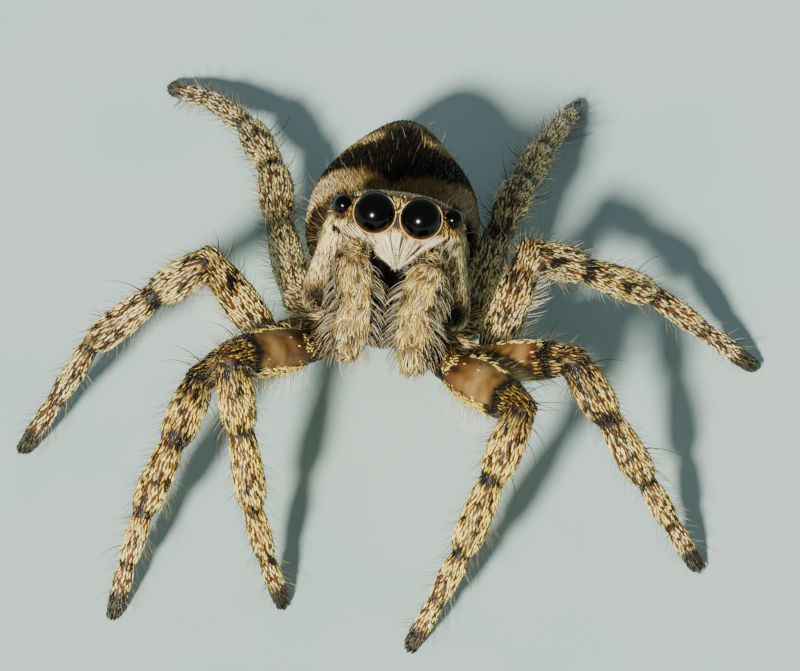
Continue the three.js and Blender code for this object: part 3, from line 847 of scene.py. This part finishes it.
# Black cuticle: thick and hard, with a fine grain that breaks up its gloss.
JAW_GRAIN = 0.03
black, tree = new_material("black_cuticle")
place = add(tree, "ShaderNodeTexCoord")
grain = add(tree, "ShaderNodeTexNoise",
            inputs={"Vector": place.outputs["Object"], "Scale": 1 / (JAW_GRAIN * MM)})
tone = add(tree, "ShaderNodeValToRGB", {"stops": [(0.35, "#020101"), (0.7, "#0a0504")]},
           {"Fac": grain.outputs["Fac"]})
relief = add(tree, "ShaderNodeBump",
             inputs={"Height": grain.outputs["Fac"], "Strength": 0.5, "Distance": 0.006 * MM})
horn = add(tree, "ShaderNodeBsdfPrincipled",
           inputs={"Base Color": tone.outputs["Color"], "Roughness": 0.42, "Specular IOR Level": 0.25,
                   "Normal": relief.outputs["Normal"]})
add(tree, "ShaderNodeOutputMaterial", inputs={"Surface": horn.outputs[0]})

for word, side in SIDES.items():
    across = Vector(turned(np.array([[1.0, 0, 0]]), head)[0])
    bm = bmesh.new()
    for joints, radii, sides in ((JAW_JOINTS, JAW_RADII, 20), (FANG_JOINTS, FANG_RADII, 12)):
        add_loft(bm, limb_rings([head_point(at, side) for at in joints], radii, across), sides)
    bmesh.ops.recalc_face_normals(bm, faces=bm.faces)
    jaw = finished(f"jaw_{word}", bm, black)
    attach(jaw, BODY)
    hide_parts(f"chelicera_{word}")

# ---- Coat: making it ------------------------------------------------------------------------
# Hairs and scales are small solid blades of dead cuticle, each rooted in the skin. Each coat is one
# joined mesh of many copies of a blade, laid over the skin.


def blade(bands, width_at, thickness, sides=3):
    """One blade along Z from its root at 0 to its tip at 1, a unit wide, with its back up +Y."""
    bm = bmesh.new()
    bmesh.ops.create_cone(bm, cap_ends=True, segments=sides, radius1=0.5, radius2=0.5, depth=1)
    upright = [e for e in bm.edges if abs(e.verts[0].co.z - e.verts[1].co.z) > 0.5]
    bmesh.ops.subdivide_edges(bm, edges=upright, cuts=bands - 1)
    for vert in bm.verts:
        along = vert.co.z + 0.5
        vert.co = Vector((vert.co.x * width_at(along), vert.co.y * width_at(along) * thickness, along))
    bmesh.ops.remove_doubles(bm, verts=bm.verts, dist=1e-3)
    bmesh.ops.triangulate(bm, faces=bm.faces)
    bmesh.ops.recalc_face_normals(bm, faces=bm.faces)
    bm.verts.ensure_lookup_table()
    points = np.array([v.co for v in bm.verts])
    faces = np.array([[v.index for v in face.verts] for face in bm.faces])
    bm.free()
    return points, faces


HAIR = blade(3, lambda along: (1 - along) ** 0.7, 1)
LONG_HAIR = blade(6, lambda along: (1 - along) ** 0.8, 1)
SCALE = blade(3, lambda along: 0.35 + 2.2 * along * (1 - along) if along < 0.9 else 0, 0.35)

# Every draw for the coat comes from one seeded source, in a fixed order.
rng = np.random.default_rng(7)


def scatter(name, spacing, where=None):
    """Roots on the skin of the parts of one name, no two closer than the spacing: their places, the
    skin's normals there, and the index of each one's part. Where says which places to keep."""
    wanted = np.array([part["name"] == name for part in parts])
    chosen = skin_triangles[wanted[skin_owner[skin_triangles]].all(1)]
    if where:
        chosen = chosen[where(skin_spots[chosen].mean(1))]
    a, b, c = (skin_spots[chosen[:, k]] for k in range(3))
    areas = np.linalg.norm(np.cross(b - a, c - a), axis=1) / 2
    count = int(areas.sum() / spacing**2 * 2.6)
    pick = rng.choice(len(chosen), count, p=areas / areas.sum())
    u, v = rng.random(count), rng.random(count)
    flip = u + v > 1
    u[flip], v[flip] = 1 - u[flip], 1 - v[flip]
    weights = np.stack([1 - u - v, u, v], 1)[:, :, None]
    roots = (skin_spots[chosen[pick]] * weights).sum(1)
    normals = unit((skin_normals[chosen[pick]] * weights).sum(1))
    tree = KDTree(count)
    for i, root in enumerate(roots.tolist()):
        tree.insert(root, i)
    tree.balance()
    free = np.ones(count, bool)
    kept = []
    for i, root in enumerate(roots.tolist()):
        if free[i]:
            kept.append(i)
            for _, j, _ in tree.find_range(root, spacing):
                free[j] = False
    kept = np.array(kept)
    return roots[kept], normals[kept], skin_owner[chosen[pick[kept], 0]]


def tufts(shape, roots, normals, lies, length, width, lift, bend, pale, warm, unwrap):
    """One blade for each root. Lies are the ways that they lie, lift and bend are angles: how far a
    blade stands up at its root, and how far it bends over by its tip."""
    count = len(roots)
    ones = np.ones(count)
    return {
        "shape": shape, "roots": roots, "normals": normals, "lies": lies, "unwrap": unwrap,
        "length": length * ones, "width": width * ones, "lift": lift * ones, "bend": bend * ones,
        "pale": np.clip(pale * ones, 0, 1), "warm": np.clip(warm * ones, 0, 1),
    }


# How deep a blade's root is set in the skin, and how large its own patch of its coat's unwrap is.
ROOT_DEPTH = 0.004
PATCH = 0.003


def coat(name, groups, material):
    """Joins groups of tufts into one piece."""
    spots, faces, values, places, first = [], [], {"pale": [], "warm": [], "reach": []}, [], 0
    for g in groups:
        points, shape_faces = g["shape"]
        up = g["normals"]
        along = unit(g["lies"] - up * (g["lies"] * up).sum(1, keepdims=True))
        across = np.cross(up, along)
        x, y, s = points.T
        chord = g["lift"][:, None] - g["bend"][:, None] * s / 2
        tilt = g["lift"][:, None] - g["bend"][:, None] * s
        out = g["length"][:, None] * s
        wide, thick = g["width"][:, None] * x, g["width"][:, None] * y
        forward = out * np.cos(chord) - thick * np.sin(tilt)
        rise = out * np.sin(chord) + thick * np.cos(tilt) - ROOT_DEPTH
        placed = (g["roots"][:, None] + along[:, None] * forward[:, :, None] + up[:, None] * rise[:, :, None]
                  + across[:, None] * wide[:, :, None])
        count, size = len(g["roots"]), len(points)
        spots.append(placed.reshape(-1, 3))
        faces.append((shape_faces[None] + size * np.arange(count)[:, None, None]).reshape(-1, 3) + first)
        first += count * size
        for key in ("pale", "warm"):
            values[key].append(np.repeat(g[key], size))
        values["reach"].append(np.tile(s, count))
        patch = np.stack([x, s - 0.5], 1) * PATCH
        places.append((g["unwrap"][:, None] + patch[None]).reshape(-1, 2))
    spots, faces, places = np.concatenate(spots) * MM, np.concatenate(faces), np.concatenate(places)
    mesh = bpy.data.meshes.new(name)
    mesh.vertices.add(len(spots))
    mesh.vertices.foreach_set("co", spots.ravel())
    mesh.loops.add(faces.size)
    mesh.loops.foreach_set("vertex_index", faces.ravel())
    mesh.polygons.add(len(faces))
    mesh.polygons.foreach_set("loop_start", np.arange(0, faces.size, 3))
    mesh.polygons.foreach_set("use_smooth", np.ones(len(faces), bool))
    mesh.update(calc_edges=True)
    for key, arrays in values.items():
        mesh.attributes.new(key, "FLOAT", "POINT").data.foreach_set("value", np.concatenate(arrays))
    mesh.uv_layers.new(name="OFBake").uv.foreach_set("vector", places[faces.ravel()].ravel())
    mesh.materials.append(material)
    piece = bpy.data.objects.new(name, mesh)
    bpy.context.scene.collection.objects.link(piece)
    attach(piece, BODY)


def hair_material(name, silver, gold, roughness, root_shade, shine=0.5):
    """Hairs coloured from silver to gold and dark to pale, darker at their roots: partly their own darker
    roots, partly painted shade deep in the coat.
    """
    material, tree = new_material(name)
    pale, warm, reach = (add(tree, "ShaderNodeAttribute", {"attribute_name": name})
                         for name in ("pale", "warm", "reach"))
    cold = add(tree, "ShaderNodeValToRGB", {"stops": silver}, {"Fac": pale.outputs["Fac"]})
    rich = add(tree, "ShaderNodeValToRGB", {"stops": gold}, {"Fac": pale.outputs["Fac"]})
    mixed = add(tree, "ShaderNodeMix", {"data_type": "RGBA"},
                {"Factor": warm.outputs["Fac"], "A": cold.outputs["Color"], "B": rich.outputs["Color"]})
    # Darker roots and brighter tips: partly the hairs' own colour, partly painted shade deep in the coat.
    shade = add(tree, "ShaderNodeMapRange",
                inputs={"Value": reach.outputs["Fac"], "To Min": root_shade, "To Max": 1.08})
    shaded = add(tree, "ShaderNodeVectorMath", {"operation": "SCALE"},
                 {"Vector": mixed.outputs[2], "Scale": shade.outputs[0]})
    fibre = add(tree, "ShaderNodeBsdfPrincipled",
                inputs={"Base Color": shaded.outputs[0], "Roughness": roughness, "Specular IOR Level": shine})
    add(tree, "ShaderNodeOutputMaterial", inputs={"Surface": fibre.outputs[0]})
    return material


# The colours of hairs and scales, from dark to pale.
SILVER = [(0.05, "#070605"), (0.35, "#504c3e"), (0.65, "#a8a080"), (0.95, "#fcf8e2")]
OLIVE = [(0.05, "#070604"), (0.35, "#4a4a34"), (0.65, "#a2a278"), (0.95, "#f6f6d2")]
GOLD = [(0.05, "#0f0803"), (0.35, "#5c4610"), (0.65, "#bca030"), (0.95, "#f4e26c")]
CREAM = [(0.05, "#0c0804"), (0.35, "#5e4c20"), (0.65, "#b8a048"), (0.95, "#f6e690")]
BLACK = [(0.05, "#030202"), (0.35, "#241d14"), (0.65, "#99835c"), (0.95, "#f6ecd4")]


def round_unwrap(points, middle, place):
    """A ball's unwrap of a rounded part, as seen from a point within it."""
    x, y, z = unit(local(points, place) - np.array(middle)).T
    across = 0.5 + np.arctan2(x, -y) / (2 * math.pi) * 0.98
    return np.stack([across, 0.01 + np.arccos(np.clip(-z, -1, 1)) / math.pi * 0.98], 1)


# ---- Coat: head -----------------------------------------------------------------------------
# White hair lies down the face and cheeks and meets in a point over the jaws, and grizzled scales
# cover the brow. Black and pale hair lies behind the eyes, with fine hairs standing up through it.

HEAD_MIDDLE = (0, 1.2, -0.35)


def groomed(roots, normals, length, width):
    """Hairs of the head at roots, lying as the head's hair lies."""
    spots = local(roots, head)
    x, y, z = spots.T
    n, out, side = len(x), np.abs(x), np.sign(x)
    gap, outward, _ = eye_gaps(spots)
    cheek = fade(out, 0.5, 0.7)
    inward = -0.75 * side * fade(out, 0.0, 0.12) * (1 - cheek)
    down = np.stack([inward + 0.15 * side * cheek, 0.3 * cheek, -np.ones(n)], 1)
    back = np.stack([0.15 * x, np.ones(n), 0.12 * np.ones(n)], 1)
    front = np.maximum(fade(y, 0.5, 0.2) * fade(z, 0.2, 0.05), fade(z, 0.05, -0.1))
    lies = back + (down - back) * front[:, None] + outward * 2.5 * np.exp(-gap / 0.035)[:, None]
    lies = turned(unit(lies) + rng.normal(0, 0.12, lies.shape), head)
    brow = fade(z, 0.1, 0.2) * fade(y, 1.0, 0.8)
    near = np.exp(-gap / 0.05)
    length = length * np.clip(0.5 + gap / 0.12, 0.5, 1) * (1 - 0.45 * brow)
    lift = np.radians(5 + 8 * rng.random(n) + 14 * near)
    dark = (rng.random(n) < 0.08) * 0.7
    pale, warm = carapace_marks(roots + 0.5 * length[:, None] * lies, None)
    return tufts(HAIR, roots, normals, lies, length, width, lift=lift, bend=lift * 0.9,
                 pale=pale + rng.normal(0, 0.07, n) - dark, warm=warm + rng.normal(0, 0.1, n),
                 unwrap=round_unwrap(roots, HEAD_MIDDLE, head))


def in_front(roots):
    """True for places on the face, the brow and the cheeks, clear of the eyes."""
    spots = local(roots, head)
    return (spots[:, 1] < 1.0) & (eye_gaps(spots)[0] > 0.01)


# Head hair: flattened hairs with a silky shine, white to cream, and darker where they root, partly as painted
# shade.
head_hair = hair_material("head_hair", SILVER, CREAM, roughness=0.42, root_shade=0.7)
roots, normals, _ = scatter("carapace", spacing=0.018, where=in_front)
n = len(roots)
short = groomed(roots, normals, length=0.075 + 0.045 * rng.random(n), width=0.011 + 0.004 * rng.random(n))


def on_cheeks(roots):
    """True for places on the cheeks."""
    x, y, z = local(roots, head).T
    return (y < 1.0) & (z < -0.12) & (np.abs(x) > 0.45)


# Short black hairs stand singly among the white ones of the cheeks.
roots, normals, _ = scatter("carapace", spacing=0.095, where=on_cheeks)
n = len(roots)
specks = groomed(roots, normals, length=0.06 + 0.04 * rng.random(n), width=0.021)
specks["pale"] = 0.05 + 0.1 * rng.random(n)
specks["lift"] = specks["lift"] + math.radians(6)


def on_brow(roots):
    """True for places on the brow, just above the front eyes."""
    spots = local(roots, head)
    x, y, z = spots.T
    corner = (np.abs(np.abs(x) - 0.5) < 0.08) & (y < 0.3)
    return (y < 0.75) & (z > 0.0) & (eye_gaps(spots)[0] > 0.012) & ~corner


# Short broad scales, tan and black mixed, crowd the brow down to the eyes' collars.
roots, normals, _ = scatter("carapace", spacing=0.02, where=on_brow)
n = len(roots)
spots = local(roots, head)
near = np.exp(-eye_gaps(spots)[0] / 0.05)
# The crest is paler: partly its own olive-yellow scales, partly painted light where it catches the lamp.
crest_tint_and_light = fade(spots[:, 2], 0.18, 0.24) * fade(spots[:, 1], 0.5, 0.35)
grizzled = 0.5 + 0.1 * near + 0.15 * crest_tint_and_light + 0.16 * fade(np.abs(spots[:, 0]), 0.42, 0.2)
lies = turned(np.stack([0.4 * spots[:, 0], np.ones(n), 0.3 * np.ones(n)], 1), head)
lies = lies + rng.normal(0, 0.3, (n, 3))
brow_scales = tufts(SCALE, roots, normals, lies,
                    length=0.07 + 0.03 * rng.random(n), width=0.02 + 0.006 * rng.random(n),
                    lift=np.radians(26 + 16 * rng.random(n)), bend=np.radians(15),
                    pale=grizzled + rng.normal(0, 0.17, n) - 0.45 * (rng.random(n) < 0.3),
                    warm=1.0 + rng.normal(0, 0.15, n), unwrap=round_unwrap(roots, HEAD_MIDDLE, head))

# Where the long white hairs meet, in the head's frame.
BEARD_TIP = np.array([0.07, -0.02, -0.64])


def under_eyes(roots):
    """True for places on the strip of the face below the great eyes."""
    spots = local(roots, head)
    x, y, z = spots.T
    return (y < 0.3) & (z < -0.15) & (z > BEARD_RISE * np.abs(x) - 0.62) & (eye_gaps(spots)[0] > 0.02)


# The long white hairs under the eyes, which run together to a point at the midline, parted here and
# there in fine dark lines: the hairs in the partings are painted dark, partly for the dark skin that shows
# there and partly as painted shade.
roots, normals, _ = scatter("carapace", spacing=0.018, where=under_eyes)
to_tip = BEARD_TIP - local(roots, head)
fan = np.arctan2(to_tip[:, 0], -to_tip[:, 2])
far = np.linalg.norm(to_tip, axis=1)
# Partings: hairs here are painted dark, partly dark skin showing through, partly painted shade between the
# locks.
parting = noise_at(np.stack([fan * 0.5, far * 0.12, 0 * fan], 1), 0.05, 14)
spots = local(roots, head)
# Painted shadow: the hairs along the lower edges of the white point are painted dark, as the shade under that
# edge.
edge = bump(spots[:, 2] - BEARD_RISE * np.abs(spots[:, 0]), -0.59, 0.025)
n = len(roots)
hang = np.arcsin(np.clip((turned(to_tip / far[:, None], head) * normals).sum(1), 0, 0.9))
stand = np.maximum(np.radians(11), hang + np.radians(3))
beard = tufts(LONG_HAIR, roots, normals, turned(to_tip / far[:, None] + rng.normal(0, 0.035, (n, 3)), head),
              length=np.minimum(far, 0.3) * (0.8 + 0.2 * rng.random(n)),
              width=0.011 + 0.004 * rng.random(n),
              lift=stand + np.radians(5) * rng.random(n), bend=np.radians(8),
              pale=1.0 + rng.normal(0, 0.05, n) - 0.75 * fade(parting, 0.34, 0.22) - 0.9 * edge,
              warm=0.28 + rng.normal(0, 0.12, n), unwrap=round_unwrap(roots, HEAD_MIDDLE, head))
coat("coat_face", [short, specks, brow_scales, beard], head_hair)


def erect(name, place, middle, where, lie, spacing, length, width, pale, warm):
    """Fine hairs that stand up through the coat of the head or the abdomen and lean one way. Place is
    the part's frame, and middle the point that its unwrap is seen from."""
    roots, normals, _ = scatter(name, spacing, where)
    n = len(roots)
    lies = turned(np.tile(lie, (n, 1)), place) + rng.normal(0, 0.3, (n, 3))
    return tufts(LONG_HAIR, roots, normals, lies, length=length * (0.6 + 0.6 * rng.random(n)), width=width,
                 lift=np.radians(60 + 20 * rng.random(n)), bend=np.radians(35),
                 pale=pale + rng.normal(0, 0.1, n), warm=warm, unwrap=round_unwrap(roots, middle, place))


def behind(roots):
    """True for places behind the face."""
    return local(roots, head)[:, 1] >= 1.0


def beside_brow(roots):
    """True for places above the smaller front eyes."""
    spots = local(roots, head)
    x, y, z = spots.T
    return (z > 0.02) & (y < 1.1) & (np.abs(x) > 0.45) & (eye_gaps(spots)[0] > 0.02)


roots, normals, _ = scatter("carapace", spacing=0.034, where=behind)
n = len(roots)
rest = groomed(roots, normals, length=0.15 + 0.05 * rng.random(n), width=0.024 + 0.006 * rng.random(n))
brow = erect("carapace", head, HEAD_MIDDLE, beside_brow, lie=(0, 0.5, 0.6), spacing=0.07,
             length=0.2, width=0.006, pale=0.35, warm=0.25)
roof = erect("carapace", head, HEAD_MIDDLE, behind, lie=(0, 1, 0.1), spacing=0.17,
             length=0.24, width=0.006, pale=0.6, warm=0.25)
coat("coat_back", [rest, brow, roof], head_hair)

# ---- Coat: palps ----------------------------------------------------------------------------
# The palps carry narrow cream and tan scales, which curl this way and that, and long pale fringes
# stand out at both sides of them.

# How far from its root the middle of a scale lies.
HALF_BLADE = 0.06


def limb_info(roots, owner):
    """on_limb for roots of many limbs, with their limb's pair and side, and the markings where the
    middle of a scale lies."""
    course, around, heading = np.zeros(len(roots)), np.zeros(len(roots)), np.zeros((len(roots), 3))
    pair, side = np.zeros(len(roots), int), np.zeros(len(roots))
    pale, warm = np.zeros(len(roots)), np.zeros(len(roots))
    for i in np.unique(owner):
        mine = owner == i
        course[mine], around[mine], heading[mine] = on_limb(roots[mine], parts[i])
        pair[mine], side[mine] = parts[i]["pair"], parts[i]["side"]
        pale[mine], warm[mine] = MARKS[parts[i]["name"]](roots[mine] + HALF_BLADE * heading[mine], parts[i])
    return course, around, heading, pair, side, pale, warm


def limb_unwrap(course, around, column, columns, stretches):
    """A limb's skin cut along one side and laid flat, one column for each limb."""
    across = (column + 0.04 + 0.92 * (around + math.pi) / (2 * math.pi)) / columns
    return np.stack([across, 0.01 + 0.98 * course / stretches], 1)


# Palp hair: like the hair of the head, a little duller.
palp_hair = hair_material("palp_hair", SILVER, CREAM, roughness=0.45, root_shade=0.75)
roots, normals, owner = scatter("palp", spacing=0.023)
course, around, heading, pair, side, pale, warm = limb_info(roots, owner)
n = len(roots)
unwrap = limb_unwrap(course, np.arctan2(-np.sin(around), -np.cos(around)), (side > 0) * 1.0, 2, 3)
lift = np.radians(8 + 14 * rng.random(n))
curl = np.stack([noise_at(roots, 0.12, seed) - 0.5 for seed in (21, 22, 23)], 1)
scales = tufts(SCALE, roots, normals, heading + 1.2 * curl + rng.normal(0, 0.18, heading.shape),
               length=0.11 + 0.05 * rng.random(n) + 0.1 * fade(course, 2.7, 2.95) * (side > 0),
               width=0.017 + 0.008 * rng.random(n), lift=lift, bend=lift * 0.8,
               pale=pale + rng.normal(0, 0.1, n), warm=warm + rng.normal(0, 0.12, n), unwrap=unwrap)
edge = bump(np.abs(around), 1.65, 0.55) * fade(course, 1.0, 1.5)
pick = rng.random(n) < 0.06 + 0.5 * edge
m = int(pick.sum())
fringe = tufts(LONG_HAIR, roots[pick], normals[pick], heading[pick] + rng.normal(0, 0.1, (m, 3)),
               length=0.16 + 0.08 * rng.random(m) + 0.1 * edge[pick], width=0.011,
               lift=np.radians(52 + 14 * rng.random(m)), bend=np.radians(38),
               pale=0.52 + rng.normal(0, 0.16, m), warm=0.05, unwrap=unwrap[pick])
coat("coat_palps", [scales, fringe], palp_hair)

# ---- Coat: legs -----------------------------------------------------------------------------
# Narrow gold and olive scales lie along the legs, pointing at the toes, over dark cuticle, and stand
# out above and below the bare fronts of the four foremost thighs. Fine pale hairs stand between them,
# longest under the thighs, with dark bristles at the knees.

# Leg scales: thin flat plates of cuticle, which give the legs their metallic gleam.
leg_scales = hair_material("leg_scales", OLIVE, GOLD, roughness=0.34, root_shade=0.6)
# Fine hair: single clear hairs, which catch the light.
fine_hair = hair_material("fine_hair", SILVER, CREAM, roughness=0.4, root_shade=0.7)
for word, side_sign in SIDES.items():
    roots, normals, owner = scatter("leg", spacing=0.031)
    mine = np.array([parts[i]["side"] for i in owner]) == side_sign
    roots, normals, owner = roots[mine], normals[mine], owner[mine]
    bare = np.zeros(len(roots))
    for i in np.unique(owner):
        bare[owner == i] = bare_front(roots[owner == i], parts[i])[0]
    mine = rng.random(len(roots)) > bare * 0.98
    roots, normals, owner = roots[mine], normals[mine], owner[mine]
    course, around, heading, pair, side, pale, warm = limb_info(roots, owner)
    n = len(roots)
    unwrap = limb_unwrap(course, around, pair, 4, 5)
    lift = np.radians(6 + 8 * rng.random(n))
    scales = tufts(SCALE, roots, normals, heading + rng.normal(0, 0.09, heading.shape),
                   length=0.085 + 0.04 * rng.random(n) - 0.015 * fade(course, 3, 4),
                   width=0.033 + 0.008 * rng.random(n), lift=lift, bend=lift * 0.7,
                   pale=pale + rng.normal(0, 0.09, n) - 0.6 * (rng.random(n) < 0.07),
                   warm=warm + rng.normal(0, 0.16, n), unwrap=unwrap)
    edge = bump(around, 2.35, 0.2) + 0.4 * bump(around, 0.25, 0.2)
    pick = rng.random(n) < 0.6 * edge * (pair < 2) * fade(course, 0.08, 0.16) * fade(course, 0.85, 0.7)
    m = int(pick.sum())
    fringe = tufts(LONG_HAIR, roots[pick], normals[pick], heading[pick] + rng.normal(0, 0.2, (m, 3)),
                   length=0.14 + 0.05 * rng.random(m), width=0.02,
                   lift=np.radians(40 + 16 * rng.random(m)), bend=np.radians(60),
                   pale=0.92, warm=0.85 + rng.normal(0, 0.12, m), unwrap=unwrap[pick])
    coat(f"coat_legs_{word}", [scales, fringe], leg_scales)

    under = fade(np.abs(around), 2.2, 2.8) * fade(course, 0.98, 0.85)
    pick = rng.random(n) < (0.3 + 0.2 * under) * fade(course, 4.9, 4.75)
    m = int(pick.sum())
    fine = tufts(HAIR, roots[pick], normals[pick], heading[pick] + rng.normal(0, 0.2, (m, 3)),
                 length=0.17 + 0.12 * rng.random(m) + 0.12 * under[pick], width=0.0062,
                 lift=np.radians(50 + 22 * rng.random(m)), bend=np.radians(25),
                 pale=0.38 + 0.55 * under[pick] + rng.normal(0, 0.15, m), warm=0.05, unwrap=unwrap[pick])
    knee = bump(course, 0.95, 0.2) + 0.7 * bump(course, 1.9, 0.12) + 0.4 * bump(course, 2.8, 0.2)
    pick = rng.random(n) < 0.035 * (knee + 0.1) * fade(np.abs(around), 2.2, 1.2) * fade(course, 4, 3.5)
    m = int(pick.sum())
    bristles = tufts(LONG_HAIR, roots[pick], normals[pick], heading[pick] + rng.normal(0, 0.2, (m, 3)),
                     length=0.34 + 0.26 * rng.random(m), width=0.015,
                     lift=np.radians(62 + 14 * rng.random(m)), bend=np.radians(50),
                     pale=0.08, warm=0.3, unwrap=unwrap[pick])
    coat(f"coat_leg_hairs_{word}", [fine, bristles], fine_hair)

# ---- Coat: abdomen --------------------------------------------------------------------------
# Soft black hair with pale bands lies over the abdomen from its front to its tail, and sparse longer
# pale hairs stand up through it on the upper side.

# Abdomen hair: soft, blunt and matt, so that its black stays black.
abdomen_hair = hair_material("abdomen_hair", BLACK, CREAM, roughness=0.6, root_shade=0.55, shine=0.08)
BLUNT_HAIR = blade(2, lambda along: 1 - 0.75 * along if along < 1 else 0, 1)
roots, normals, _ = scatter("abdomen", spacing=0.027)
n = len(roots)
spots = local(roots, abdomen)
lies = turned(np.stack([0.1 * spots[:, 0], np.ones(n), -0.1 * np.ones(n)], 1), abdomen)
lies = lies + rng.normal(0, 0.12, (n, 3))
pale, warm = abdomen_marks(roots + HALF_BLADE * lies, None)
lift = np.radians(7 + 8 * rng.random(n))
lying = tufts(BLUNT_HAIR, roots, normals, lies, length=0.12 + 0.04 * rng.random(n),
              width=0.016 + 0.006 * rng.random(n), lift=lift, bend=lift * 0.8,
              pale=pale + rng.normal(0, 0.05, n), warm=warm + rng.normal(0, 0.12, n),
              unwrap=round_unwrap(roots, (0, 0, 0), abdomen))


def on_back(roots):
    """True for places on the upper side of the abdomen."""
    return local(roots, abdomen)[:, 2] > 0


standing = erect("abdomen", abdomen, (0, 0, 0), on_back, lie=(0, 1, 0.1), spacing=0.16,
                 length=0.21, width=0.0045, pale=0.6, warm=0.0)
coat("coat_abdomen", [lying, standing], abdomen_hair)

# ---- Coat: underside ------------------------------------------------------------------------
# Scales cover the hips, with a yellow patch at the outer end of the first ones, and short brown hairs
# cover the plate between them, the mouthparts, the waist and the spinnerets.

roots, normals, owner = scatter("coxa", spacing=0.036)
course, around, heading, pair, side, pale, warm = limb_info(roots, owner)
n = len(roots)
lift = np.radians(8 + 10 * rng.random(n))
hips = tufts(SCALE, roots, normals, heading + rng.normal(0, 0.12, heading.shape),
             length=0.1 + 0.04 * rng.random(n), width=0.03, lift=lift, bend=lift * 0.7,
             pale=pale + rng.normal(0, 0.08, n), warm=warm,
             unwrap=limb_unwrap(course, around, pair + 4 * (side > 0), 8, 1))
below = [hips]
for name, middle in (("sternum", (0, 1.42, -1.18)), ("mouth", (0, 0.75, -1.2)), ("waist", (0, 2.3, -0.8)),
                     ("spinnerets", (0, 3.9, 0.5))):
    roots, normals, _ = scatter(name, spacing=0.045)
    n = len(roots)
    pale, warm = under_marks(roots, None)
    lies = turned(np.tile((0, 1, 0), (n, 1)) + rng.normal(0, 0.15, (n, 3)), head)
    lift = np.radians(12 + 12 * rng.random(n))
    below.append(tufts(HAIR, roots, normals, lies, length=0.1 + 0.05 * rng.random(n), width=0.02,
                       lift=lift, bend=lift * 0.8, pale=pale + rng.normal(0, 0.1, n), warm=warm,
                       unwrap=round_unwrap(roots, middle, head)))
coat("coat_under", below, abdomen_hair)

# ---- Feet -----------------------------------------------------------------------------------
# Each foot ends in a short tapered brush of dark grey hairs, which grip, and two small hooked claws of
# black cuticle above it.

FOOT_HAIRS = 260
BRUSH_RADIUS = 0.095
CLAW_RADII = [(0.014, 0.013, 0.012, 0.011, 0.01), (0.01, 0.009, 0.007, 0.005, 0.003)]

# Foot hair: dull and dark.
foot_hair = hair_material("foot_hair", SILVER, SILVER, roughness=0.6, root_shade=0.7)
brushes = []
claws = bmesh.new()
for part in parts:
    if part["name"] != "leg":
        continue
    ankle, toe = part["joints"][-2:]
    heading = (toe - ankle).normalized()
    plane = part["plane"] * part["side"]
    ridge = Vector(part["plane"]).cross(heading)
    angle, reach = rng.random(FOOT_HAIRS) * 2 * math.pi, np.sqrt(rng.random(FOOT_HAIRS))
    up, beside = np.cos(angle) * reach, np.sin(angle) * reach
    off = up[:, None] * np.array(ridge) + beside[:, None] * np.array(plane)
    back = 0.1 + 0.07 * rng.random(FOOT_HAIRS)
    roots = np.array(toe) - np.array(heading) * back[:, None] + off * BRUSH_RADIUS
    normals = unit(off + 0.02 * np.array(ridge))
    lies = np.array(heading) - 0.1 * off + np.array([0, 0, -0.12])
    unwrap = limb_unwrap(4.9 + 0 * angle, np.arctan2(np.sin(angle), np.cos(angle)), part["pair"], 4, 5)
    brushes.append(tufts(HAIR, roots, normals, lies,
                         length=0.13 + 0.08 * (1 - reach) + 0.03 * rng.random(FOOT_HAIRS), width=0.015,
                         lift=np.radians(4), bend=0, pale=0.13 + rng.normal(0, 0.09, FOOT_HAIRS),
                         warm=0.1, unwrap=unwrap))
    for across in (-0.035, 0.035):
        start = toe + ridge * 0.05 + plane * across
        points = [start, start + heading * 0.06 + ridge * 0.03, start + heading * 0.12 - ridge * 0.01]
        add_loft(claws, limb_rings(points, CLAW_RADII, plane, 2), 8)
coat("coat_feet", brushes, foot_hair)
bmesh.ops.recalc_face_normals(claws, faces=claws.faces)
claws = finished("claws", claws, black)
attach(claws, BODY)
